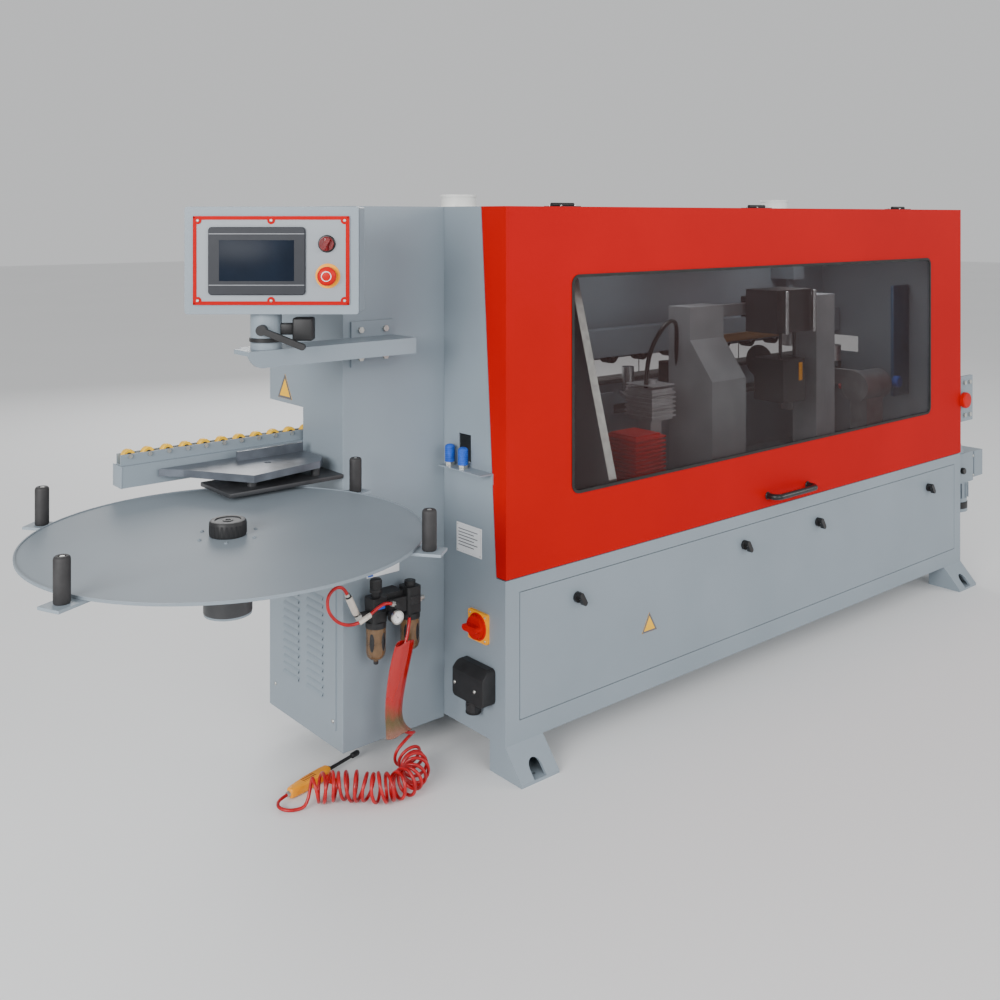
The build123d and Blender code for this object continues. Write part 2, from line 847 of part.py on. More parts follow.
with BuildPart() as drive_drum:
    with BuildSketch(Plane.XZ.offset(-(chain_y + 30))):
        with Locations((drum_x, drum_z)):
            Circle(drum_r - 0.5)
    extrude(amount=60)
    with BuildSketch(Plane.XZ.offset(-(chain_y + 55))):
        with Locations((drum_x, drum_z)):
            Circle(12)
    extrude(amount=110)

press_first = -press_pitch * (press_count - 1) / 2
press_axis_z = slot_high + press_wheel_r
with BuildPart() as pressure_beam:
    with BuildSketch(Plane.YZ.offset(left + 30)):
        with Locations((chain_y, slot_high + 70)):
            Rectangle(60, 90)
        with Locations((chain_y, slot_high + 65)):
            Rectangle(48, 90, mode=Mode.SUBTRACT)
    extrude(amount=body_length - 60)
    for wheel_number in range(press_count):
        with Locations((press_first + wheel_number * press_pitch, chain_y, press_axis_z)):
            Cylinder(4, 60, rotation=(90, 0, 0))
    for guide_x in guide_places:
        with BuildSketch(Plane.XY.offset(slot_high + 115)):
            with Locations((guide_x, chain_y)):
                Circle(guide_r)
        extrude(amount=rod_top - slot_high - 115)

with BuildPart() as pressure_wheels:
    for wheel_number in range(press_count):
        with BuildSketch(Plane.XZ.offset(-(chain_y + 18))):
            with Locations((press_first + wheel_number * press_pitch, press_axis_z)):
                Circle(press_wheel_r)
                Circle(4, mode=Mode.SUBTRACT)
        extrude(amount=36)

# ---------------------------------------------------------------- working units on the deck
with BuildPart() as partition_wall:
    with BuildSketch(Plane.YZ.offset(partition_x)):
        with BuildLine():
            Polyline(
                (front + 50, cabinet_top), (edge_line - 30, cabinet_top), (edge_line - 30, body_top - 107),
                (front + 228, body_top - 107), (front + 50, 660), close=True,
            )
        make_face()
    extrude(amount=sheet)
    with BuildSketch(Plane.XY.offset(cabinet_top)):
        with Locations((partition_x + 15, front + 240)):
            Rectangle(30, 330)
    extrude(amount=sheet)

with BuildPart() as glue_tank:
    with Locations((tank_x, tank_y, work_height - 37)):
        Box(95, 100, 94)
    for fin in range(6):
        with Locations((tank_x, tank_y, work_height - 72 + fin * 14)):
            Box(109, 114, 5)
    with Locations((tank_x, tank_y, (cabinet_top + tank_low) / 2)):
        Box(50, 50, tank_low - cabinet_top)
    with Locations((tank_x + 10, tank_y, work_height + 20)):
        Cylinder(16, 30)
    with BuildSketch(Plane.XY.offset(work_height - 40)):
        with BuildLine():
            Polyline(
                (tank_x + 20, tank_y + 40), (tank_x + 100, edge_line - 46),
                (tank_x + 100, edge_line - 2), (tank_x + 60, edge_line - 2), (tank_x - 30, tank_y + 50),
                close=True,
            )
        make_face()
        with Locations((tank_x + 80, edge_line - 22)):
            Circle(6 + running_gap, mode=Mode.SUBTRACT)
    extrude(amount=12)

with BuildPart() as glue_roller:
    with BuildSketch(Plane.XY.offset(work_height - 27.6)):
        with Locations((tank_x + 80, edge_line - 22)):
            Circle(glue_roller_r)
    extrude(amount=80)
    with BuildSketch(Plane.XY.offset(work_height - 50)):
        with Locations((tank_x + 80, edge_line - 22)):
            Circle(6)
    extrude(amount=22.4)

with BuildPart() as glue_guard:
    with Locations((guard_x, guard_y, 655)):
        Box(104, 104, 190)
    for fin in range(14):
        with Locations((guard_x, guard_y, 567 + fin * 13.5)):
            Box(116, 116, 5)
    for corner_x in (-40, 40):
        with Locations((guard_x + corner_x, guard_y, (cabinet_top + 560) / 2)):
            Box(10, 80, 560 - cabinet_top)

with BuildPart() as unit_columns:
    # Cast column of the end-trim unit, with a sloped shoulder.
    with BuildSketch(Plane.YZ.offset(column_x - 85)):
        with BuildLine():
            Polyline(
                (front + 150, cabinet_top), (front + 330, cabinet_top), (front + 330, rail_z + 30),
                (front + 240, rail_z + 30), (front + 240, rail_z - 75), (front + 150, rail_z - 200), close=True,
            )
        make_face()
    extrude(amount=170)
    # Arm that carries the press roller.
    with Locations((column_x, (front + 330 + edge_line - 4) / 2, work_height - 38)):
        Box(90, edge_line - 4 - front - 330, 14)
    with Locations((column_x, edge_line - 38, work_height - 38)):
        Cylinder(8 + running_gap, 30, mode=Mode.SUBTRACT)
    # Aluminium column of the trimming unit.
    with Locations((router_x, front + 270, (cabinet_top + rail_z + 40) / 2)):
        Box(115, 100, rail_z + 40 - cabinet_top)
    # Slide rail between the two columns.
    with Locations(((column_x + router_x) / 2, front + 325, rail_z)):
        Box(router_x - column_x, 24, 40)

with BuildPart() as press_roller:
    with BuildSketch(Plane.XY.offset(work_height - 30.6)):
        with Locations((column_x, edge_line - 38)):
            Circle(press_roller_r)
    extrude(amount=85)
    with BuildSketch(Plane.XY.offset(work_height - 60)):
        with Locations((column_x, edge_line - 38)):
            Circle(8)
    extrude(amount=29.4)

slide_gap = 0.4
with BuildPart() as end_trim_saw:
    # Carriage that wraps the rail, open below for the rail's own fixing.
    with Locations((saw_x, front + 325, rail_z + 6)):
        Box(120, 52, 72)
    with Locations((saw_x, front + 325, rail_z)):
        Box(130, 24 + 2 * slide_gap, 40 + 2 * slide_gap, mode=Mode.SUBTRACT)
    with Locations((saw_x, front + 235, rail_z - 2)):
        Box(200, 128, 146)
    for rod_x in (-40, 40):
        with Locations((saw_x + rod_x, front + 200, rail_z - 120)):
            Cylinder(6, 100)
    with Locations((saw_x - 10, front + 225, rail_z - 238)):
        Box(124, 120, 146)
    with Locations((saw_x + 80, front + 300, rail_z - 200)):
        Box(80, 160, 20)
    with Locations((saw_x + 80, front + 375, rail_z - 200)):
        Cylinder(58, 3, rotation=(0, 90, 0))

with BuildPart() as finishing_motors:
    # Upper and lower trimming motors on the aluminium column.
    for motor_z in (work_height + 125, work_height - 110):
        with Locations((router_x, front + 362, motor_z)):
            Cylinder(40, 120)
        with Locations((router_x, front + 330, motor_z)):
            Box(80, 20, 100)
    # Buffing motor on its own stand.
    with Locations((buffer_x, front + 225, work_height - 95)):
        Cylinder(56, 165, rotation=(0, 90, 0))
    with Locations((buffer_x, front + 225, (cabinet_top + work_height - 140) / 2)):
        Box(110, 70, work_height - 140 - cabinet_top)
    with Locations((buffer_x + 30, front + 330, work_height - 80)):
        Box(24, 130, 60)
    with Locations((buffer_x + 30, front + 395, work_height + 10)):
        Cylinder(36, 60)
    with Locations((buffer_x + 30, front + 395, work_height - 35)):
        Cylinder(9, 40)

# ---------------------------------------------------------------- right end gearmotor
with BuildPart() as drive_gearbox:
    # Upright plate and mounting foot on the end of the body.
    with Locations((right + plate_reach / 2, motor_front + 6, plate_z)):
        Box(plate_reach, 12, plate_height)
    with Locations((right + 6, motor_y, plate_z - 130)):
        Box(12, 110, plate_height + 90)
    # Tapered output neck over the gear housing.
    with BuildSketch(Plane.XY.offset(gearbox_top)):
        with Locations((motor_x - 10, motor_y)):
            Circle(52)
    with BuildSketch(Plane.XY.offset(gearbox_top + 78)):
        with Locations((motor_x - 24, motor_y)):
            Circle(34)
    loft()
    with BuildSketch(Plane.XY.offset(gearbox_top + 78)):
        with Locations((motor_x - 34, motor_y)):
            Circle(26)
    extrude(amount=58)
    with BuildSketch(Plane.XY.offset(gearbox_low)):
        with Locations((motor_x + 8, motor_y)):
            RectangleRounded(gearbox_length, gearbox_width, 16)
    extrude(amount=gearbox_top - gearbox_low)
    # Terminal box on the outer side.
    with Locations((motor_x + gearbox_length / 2 + 40, motor_y - 10, (gearbox_low + gearbox_top) / 2 + 4)):
        Box(66, 90, gearbox_top - gearbox_low - 14)

with BuildPart() as drive_motor:
    with BuildSketch(Plane.XY.offset(motor_low)):
        with Locations((motor_x, motor_y)):
            Circle(motor_r)
    extrude(amount=gearbox_low - motor_low)
    for fin in range(fin_count):
        with Locations((motor_x, motor_y, (gearbox_low + motor_low) / 2 + 8)):
            Box(2 * motor_r + 12, 3, 56, rotation=(0, 0, fin * 180 / fin_count))
    with BuildSketch(Plane.XY.offset(motor_low)):
        with Locations((motor_x, motor_y)):
            Circle(motor_r + 2)
    extrude(amount=-36)

# ---------------------------------------------------------------- hood
with BuildPart() as hood_shell:
    hood_left = left
    hood_front = front - hood_proud
    with BuildSketch(Plane.YZ.offset(hood_left)):
        with BuildLine():
            Polyline(
                (hood_front, hood_bottom), (seam_y(hood_bottom), hood_bottom),
                (seam_y(body_top), body_top), (hood_front, body_top), close=True,
            )
        make_face()
    extrude(amount=body_length)
    with BuildSketch(Plane.YZ.offset(hood_left + sheet)):
        with BuildLine():
            Polyline(
                (hood_front + sheet, hood_bottom + sheet), (rear, hood_bottom + sheet),
                (rear, body_top - sheet), (hood_front + sheet, body_top - sheet), close=True,
            )
        make_face()
    extrude(amount=body_length - 2 * sheet, mode=Mode.SUBTRACT)
    with BuildSketch(Plane.XZ.offset(-hood_front)):
        with Locations(((window_left + window_right) / 2, (window_low + window_high) / 2)):
            RectangleRounded(window_right - window_left, window_high - window_low, window_corner_r)
    extrude(amount=-sheet, mode=Mode.SUBTRACT)

with BuildPart() as hood_window:
    with BuildSketch(Plane.XZ.offset(-(hood_front + sheet))):
        with Locations(((window_left + window_right) / 2, (window_low + window_high) / 2)):
            RectangleRounded(
                window_right - window_left + 2 * window_lap,
                window_high - window_low + 2 * window_lap,
                window_corner_r,
            )
    extrude(amount=-window_thick)

with BuildPart() as hood_handle:
    grip_reach = 38.0
    grip_r = 9.0
    half_span = handle_length / 2 - grip_r
    with BuildLine(Plane.XY.offset(handle_z)):
        FilletPolyline(
            (handle_x - half_span, hood_front),
            (handle_x - half_span, hood_front - grip_reach),
            (handle_x + half_span, hood_front - grip_reach),
            (handle_x + half_span, hood_front),
            radius=22,
        )
    with BuildSketch(Plane.XZ.offset(-hood_front)):
        with Locations((handle_x - half_span, handle_z)):
            Circle(grip_r)
    sweep()

hinge_z = body_top + hinge_knuckle_r
hinge_y = seam_y(body_top, gap / 2)
knuckle = hinge_length / 2
with BuildPart() as hinge_leaves:
    # Leaves on the hood, each with two outer knuckles.
    for hinge_x in hinge_places:
        with Locations((hinge_x, hinge_y - 16, body_top + 1.25)):
            Box(hinge_length, 28, 2.5)
        with Locations((hinge_x, hinge_y, hinge_z)):
            Box(knuckle + 1, 40, 20, mode=Mode.SUBTRACT)
        for side in (-1, 1):
            with Locations((hinge_x + side * (knuckle * 0.75 + 0.25), hinge_y, hinge_z)):
                Cylinder(hinge_knuckle_r - 0.5, knuckle / 2 - 0.5, rotation=(0, 90, 0))
                Cylinder(hinge_pin_r + running_gap, knuckle, rotation=(0, 90, 0), mode=Mode.SUBTRACT)

with BuildPart() as hood_hinges:
    # Leaves on the roof, each with its middle knuckle and the pin.
    for hinge_x in hinge_places:
        with Locations((hinge_x, hinge_y + 18, body_top + 1.25)):
            Box(hinge_length, 24, 2.5)
        with Locations((hinge_x, hinge_y + 6, body_top + 3)):
            Box(knuckle - 1, 12, 6)
        with Locations((hinge_x, hinge_y, hinge_z)):
            Cylinder(hinge_knuckle_r - 0.5, knuckle - 1, rotation=(0, 90, 0))
            Cylinder(hinge_pin_r, hinge_length, rotation=(0, 90, 0))

# ---------------------------------------------------------------- service panel and latches
panel_length = body_length - 2 * panel_margin
with BuildPart() as service_panel:
    with BuildSketch(Plane.XZ.offset(-front)):
        with Locations((0, (panel_low + panel_high) / 2)):
            Rectangle(panel_length, panel_high - panel_low)
    extrude(amount=-panel_depth)
    with BuildSketch(Plane.XZ.offset(-(front + sheet))):
        with Locations((0, (panel_low + panel_high) / 2)):
            Rectangle(panel_length - 2 * sheet, panel_high - panel_low - 2 * sheet)
    extrude(amount=-panel_depth, mode=Mode.SUBTRACT)
    with BuildSketch(Plane.XZ.offset(-front)):
        with Locations(*[(latch_x, latch_high) for latch_x in latch_places]):
            Circle(latch_shaft_r + running_gap)
    extrude(amount=-sheet, mode=Mode.SUBTRACT)

tongue_reach = panel_high - latch_high + 14
latches = []
for latch_x in latch_places:
    with BuildPart() as latch:
        with BuildSketch(Plane.XZ.offset(-(front - 0.4))):
            with Locations((latch_x, latch_high)):
                Circle(latch_disc_r)
        extrude(amount=8)
        with BuildSketch(Plane.XZ.offset(-(front - 8.4))):
            with Locations((latch_x + 4, latch_high - 3)):
                SlotOverall(40, 14, rotation=-60)
        extrude(amount=14)
        with BuildSketch(Plane.XZ.offset(-(front - 0.4))):
            with Locations((latch_x, latch_high)):
                Circle(latch_shaft_r)
        extrude(amount=-(sheet + 20))
        # Cam tongue, stored turned away from the frame's lip.
        with BuildSketch(Plane.XZ.offset(-(front + panel_depth + 2))):
            with Locations((latch_x + tongue_reach / 2, latch_high)):
                Rectangle(tongue_reach, 16)
        extrude(amount=-4)
    latches.append(latch)

# ---------------------------------------------------------------- hoses and blow gun
def corner_radii(points):
    """Largest tangent arc for each corner of a route: 0.45 of its shorter run."""
    radii = []
    for before, here, after in zip(points, points[1:], points[2:]):
        run_in = Vector(*here) - Vector(*before)
        run_out = Vector(*after) - Vector(*here)
        half_turn = math.radians(run_in.get_angle(run_out)) / 2
        radii.append(0.45 * min(run_in.length, run_out.length) / math.tan(half_turn))
    return radii


with BuildPart() as loop_hose:
    loop_radii = corner_radii(loop_points)
    with BuildLine() as loop_route:
        FilletPolyline(*loop_points, radius=loop_radii)
    with BuildSketch(Plane(origin=loop_route.line @ 0, z_dir=loop_route.line % 0)):
        Circle(hose_r)
    sweep()

with BuildPart() as hose_sleeve:
    # Plastic sleeve that hangs flat from the air unit and holds the upper end of the spiral hose.
    for sleeve_z, sleeve_x, sleeve_width, sleeve_thick in sleeve_sections:
        with BuildSketch(Plane.XY.offset(sleeve_z)):
            with Locations((sleeve_x, sleeve_y)):
                RectangleRounded(sleeve_width, sleeve_thick, sleeve_thick * 0.4)
    loft()

with BuildPart() as spiral_hose:
    coil_radii = corner_radii(coil_points)
    with BuildLine() as coil_route:
        FilletPolyline(*coil_points, radius=coil_radii)
    with BuildSketch(Plane(origin=coil_route.line @ 0, z_dir=coil_route.line % 0)):
        Circle(coil_r)
    sweep()

gun_tail = Vector(left - 449, front + 262, 14)
gun_head = Vector(left - 322, front + 296, 14)
gun_along = (gun_head - gun_tail).normalized()
gun_across = Vector(-gun_along.Y, gun_along.X, 0)
gun_plane = Plane(origin=(gun_tail.X, gun_tail.Y, 0), x_dir=gun_along, z_dir=(0, 0, 1))
with BuildPart() as blow_gun:
    # The gun lies on its side on the floor.
    with BuildSketch(gun_plane.offset(2)):
        with BuildLine():
            Polyline((0, -12), (92, -16), (130, -10), (130, 14), (60, 16), (0, 12), close=True)
        make_face()
    extrude(amount=24)
    fillet(blow_gun.edges().filter_by(Axis.Z), 5)
    with BuildSketch(Plane(origin=gun_plane.from_local_coords((130, 2, 14)), z_dir=gun_along)):
        Circle(4)
    extrude(amount=90)
    with BuildSketch(Plane(origin=gun_plane.from_local_coords((220, 2, 14)), z_dir=gun_along)):
        Circle(7)
    extrude(amount=22)

with BuildPart() as gun_trigger:
    with BuildSketch(gun_plane.offset(7)):
        with BuildLine():
            Polyline((100, -18.5), (112, -18), (104, -58), (92, -60), (94, -36), close=True)
        make_face()
    extrude(amount=14)

# ---------------------------------------------------------------- fasteners
with BuildPart() as fasteners:
    # Bolts of the control bracket.
    with BuildSketch(Plane.XZ.offset(-(tower_front - bracket_plate))):
        with Locations(bracket_place):
            with GridLocations(*bolt_grid, 2, 2):
                RegularPolygon(8, 6)
    extrude(amount=7)
    # Axle bolts of the support wheels, through both walls of the channel.
    for wheel_number in range(wheel_count):
        wheel_x = wheel_first + wheel_number * wheel_pitch
        outer_wall = channel_y - wheel_width / 2 - 1 - channel_wall
        with BuildSketch(Plane.XZ.offset(-outer_wall)):
            with Locations((wheel_x, wheel_z)):
                Circle(5)
        extrude(amount=4)
        with BuildSketch(Plane.XZ.offset(-outer_wall)):
            with Locations((wheel_x, wheel_z)):
                Circle(axle_r)
        extrude(amount=-(wheel_width + 2 + 2 * channel_wall))
    # Bolts of the gearmotor's plate.
    with BuildSketch(Plane.XZ.offset(-motor_front)):
        with Locations(plate_bolts):
            with GridLocations(40, 124, 2, 2):
                RegularPolygon(9, 6)
    extrude(amount=7)

pieces = {
    "base_cabinet": base_cabinet,
    "floor_feet": floor_feet,
    "left_end_plate": left_end_plate,
    "right_end_plate": right_end_plate,
    "rear_cover": rear_cover,
    "dust_ports": dust_ports,
    "infeed_tower": infeed_tower,
    "louvre_panel": louvre_panel,
    "control_bracket": control_bracket,
    "control_box": control_box,
    "touch_panel": touch_panel,
    "selector_knob": selector_knob,
    "stop_button": stop_button,
    "clamp_lever": clamp_lever,
    "mains_switch_plate": mains_switch_plate,
    "mains_knob": mains_knob,
    "power_inlet": power_inlet,
    "exhaust_silencers": exhaust_silencers,
    "air_unit": air_unit,
    "air_bowls": air_bowls,
    "regulator_knob": regulator_knob,
    "tape_table": tape_table,
    "reel_bracket": reel_bracket,
    "reel_disc": reel_disc,
    "reel_arms": reel_arms,
    "grip_posts": grip_posts,
    "hub_knob": hub_knob,
    "roller_bar": roller_bar,
    "support_wheels": support_wheels,
    "feed_beam": feed_beam,
    "feed_chain": feed_chain,
    "drive_drum": drive_drum,
    "pressure_beam": pressure_beam,
    "pressure_wheels": pressure_wheels,
    "partition_wall": partition_wall,
    "glue_tank": glue_tank,
    "glue_roller": glue_roller,
    "glue_guard": glue_guard,
    "unit_columns": unit_columns,
    "press_roller": press_roller,
    "end_trim_saw": end_trim_saw,
    "finishing_motors": finishing_motors,
    "drive_gearbox": drive_gearbox,
    "drive_motor": drive_motor,
    "hood_shell": hood_shell,
    "hood_window": hood_window,
    "hood_handle": hood_handle,
    "hinge_leaves": hinge_leaves,
    "hood_hinges": hood_hinges,
    "service_panel": service_panel,
    "latch_1": latches[0],
    "latch_2": latches[1],
    "latch_3": latches[2],
    "latch_4": latches[3],
    "loop_hose": loop_hose,
    "hose_sleeve": hose_sleeve,
    "spiral_hose": spiral_hose,
    "blow_gun": blow_gun,
    "gun_trigger": gun_trigger,
    "fasteners": fasteners,
}

print("loop hose radii", [round(radius) for radius in loop_radii])
print("coil radii", [round(radius) for radius in coil_radii])
os.makedirs("parts", exist_ok=True)
for piece_name, piece in pieces.items():
    piece.part.label = piece_name
    export_step(piece.part, f"parts/{piece_name}.step")
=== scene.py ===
import json
import math

import bmesh
import bpy
from mathutils import Matrix, Vector


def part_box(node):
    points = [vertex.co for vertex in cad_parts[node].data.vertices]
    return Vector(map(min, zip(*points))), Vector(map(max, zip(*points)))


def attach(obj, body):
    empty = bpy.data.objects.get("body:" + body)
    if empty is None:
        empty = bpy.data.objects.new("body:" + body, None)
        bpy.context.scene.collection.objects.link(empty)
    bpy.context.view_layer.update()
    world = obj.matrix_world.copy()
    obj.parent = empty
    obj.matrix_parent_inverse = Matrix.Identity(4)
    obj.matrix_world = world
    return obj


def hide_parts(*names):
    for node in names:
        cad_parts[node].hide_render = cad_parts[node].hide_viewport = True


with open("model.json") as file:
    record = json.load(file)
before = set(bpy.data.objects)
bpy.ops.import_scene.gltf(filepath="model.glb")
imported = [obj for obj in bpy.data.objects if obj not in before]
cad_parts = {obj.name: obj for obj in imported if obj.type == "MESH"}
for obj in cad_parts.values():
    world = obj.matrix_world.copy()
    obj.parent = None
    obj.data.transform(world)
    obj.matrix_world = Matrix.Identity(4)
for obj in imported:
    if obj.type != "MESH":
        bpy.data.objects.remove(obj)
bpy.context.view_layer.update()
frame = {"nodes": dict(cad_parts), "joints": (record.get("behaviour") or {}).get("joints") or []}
print("frame loaded:", len(frame["nodes"]), "nodes")

up = Vector((0, 0, 1))
rightward = Vector((1, 0, 0))
backward = Vector((0, 1, 0))
joints = {joint["name"]: joint for joint in frame["joints"]}
bodyLow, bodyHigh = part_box("base_cabinet")
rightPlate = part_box("right_end_plate")
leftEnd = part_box("mains_switch_plate")[1].x  # outer face of the left end plate
rightEnd = rightPlate[1].x
frontFace = bodyLow.y
rearFace = bodyHigh.y


# millimetres to metres
def mm(*values):
    return Vector([value / 1000 for value in values])


# camera and lights come first, then the hoses, because the hoses' room depends on the view
studio = {
    "eye": (-2.881, -2.341, 1.380),
    "heading": (0.6463, 0.7631),
    "lens": 39.42,
    "shift": -0.283,
}


def makeCamera(settings):
    ahead = Vector((*settings["heading"], 0))
    data = bpy.data.cameras.new("studioCamera")
    data.lens = settings["lens"]
    data.shift_y = settings["shift"]
    data.clip_end = 60
    camera = bpy.data.objects.new("studioCamera", data)
    camera.location = settings["eye"]
    camera.rotation_mode = "QUATERNION"
    camera.rotation_quaternion = ahead.to_track_quat("-Z", "Y")
    bpy.context.scene.collection.objects.link(camera)
    bpy.context.scene.camera = camera


def makeSoftbox(name, place, aim, width, power):
    data = bpy.data.lights.new(name, "AREA")
    data.shape = "RECTANGLE"
    data.size = width
    data.size_y = width * 0.6
    data.energy = power
    lamp = bpy.data.objects.new(name, data)
    lamp.location = place
    lamp.rotation_mode = "QUATERNION"
    lamp.rotation_quaternion = (Vector(aim) - Vector(place)).to_track_quat("-Z", "Y")
    bpy.context.scene.collection.objects.link(lamp)


softboxes = {
    # place, aim, width, power
    "keyLight": ((-1.6, -5.8, 2.6), (-0.2, 0, 0.7), 3.6, 130),
    "fillLight": ((4.2, -4.8, 2.4), (0.4, 0, 0.8), 3.5, 120),
    "leftLight": ((-6.0, -2.2, 2.3), (-1.1, -0.1, 0.8), 3.2, 290),
    "rearLight": ((1.5, 5.0, 3.0), (0, 0, 0.7), 3.5, 120),
    "insideLight": ((-0.25, -0.04, 1.36), (-0.1, -0.02, 0.6), 0.34, 1.9),
    "insideRight": ((0.62, -0.04, 1.36), (0.6, -0.02, 0.6), 0.34, 2.2),
}


def makeWorld(colour, strength):
    world = bpy.data.worlds.new("studioWorld")
    world.use_nodes = True
    background = world.node_tree.nodes["Background"]
    background.inputs["Color"].default_value = (*colour, 1)
    background.inputs["Strength"].default_value = strength
    bpy.context.scene.world = world


makeCamera(studio)
for name, (place, aim, width, power) in softboxes.items():
    makeSoftbox(name, place, aim, width, power)
makeWorld((0.93, 0.94, 0.95), 0.72)
print("camera and lights placed")


# surfaces: every finish is built by the same function from its own dictionary
def nodeOf(tree, kind, **values):
    node = tree.nodes.new(kind)
    for key, value in values.items():
        if key in node.inputs:
            node.inputs[key].default_value = value
        else:
            setattr(node, key, value)
    return node


# cloudy colour, fine grain in the bump, and roughness that varies with the grain
def makeFinish(name, settings):
    finish = bpy.data.materials.new(name)
    finish.use_nodes = True
    tree = finish.node_tree
    shader = tree.nodes["Principled BSDF"]
    place = nodeOf(tree, "ShaderNodeTexCoord").outputs["Object"]
    stretch = nodeOf(tree, "ShaderNodeMapping", Scale=settings.get("stretch", (1, 1, 1)))
    tree.links.new(place, stretch.inputs["Vector"])
    cloud = nodeOf(tree, "ShaderNodeTexNoise", Scale=settings["cloud"], Detail=4.0)
    tree.links.new(stretch.outputs["Vector"], cloud.inputs["Vector"])
    grain = nodeOf(tree, "ShaderNodeTexNoise", Scale=settings["grain"], Detail=3.0)
    tree.links.new(stretch.outputs["Vector"], grain.inputs["Vector"])
    colours = nodeOf(tree, "ShaderNodeValToRGB")
    spread = settings.get("spread", 0.08)
    base = settings["colour"]
    colours.color_ramp.elements[0].position = 0.35
    colours.color_ramp.elements[0].color = (*[part * (1 - spread) for part in base], 1)
    colours.color_ramp.elements[1].position = 0.68
    colours.color_ramp.elements[1].color = (*[min(1, part * (1 + spread)) for part in base], 1)
    tree.links.new(cloud.outputs["Fac"], colours.inputs["Fac"])
    tree.links.new(colours.outputs["Color"], shader.inputs["Base Color"])
    rough = nodeOf(tree, "ShaderNodeMapRange")
    rough.inputs["To Min"].default_value = settings["rough"] - settings.get("roughSpread", 0.06)
    rough.inputs["To Max"].default_value = settings["rough"] + settings.get("roughSpread", 0.06)
    tree.links.new(grain.outputs["Fac"], rough.inputs["Value"])
    tree.links.new(rough.outputs["Result"], shader.inputs["Roughness"])
    bump = nodeOf(tree, "ShaderNodeBump", Strength=settings["bump"], Distance=settings.get("depth", 0.0004))
    tree.links.new(grain.outputs["Fac"], bump.inputs["Height"])
    tree.links.new(bump.outputs["Normal"], shader.inputs["Normal"])
    shader.inputs["Metallic"].default_value = settings.get("metal", 0.0)
    shader.inputs["Specular IOR Level"].default_value = settings.get("shine", 0.5)
    shader.inputs["Coat Weight"].default_value = settings.get("coat", 0.0)
    shader.inputs["Coat Roughness"].default_value = 0.12
    shader.inputs["Alpha"].default_value = settings.get("alpha", 1.0)
    finish.diffuse_color = (*base, 1)
    return finish


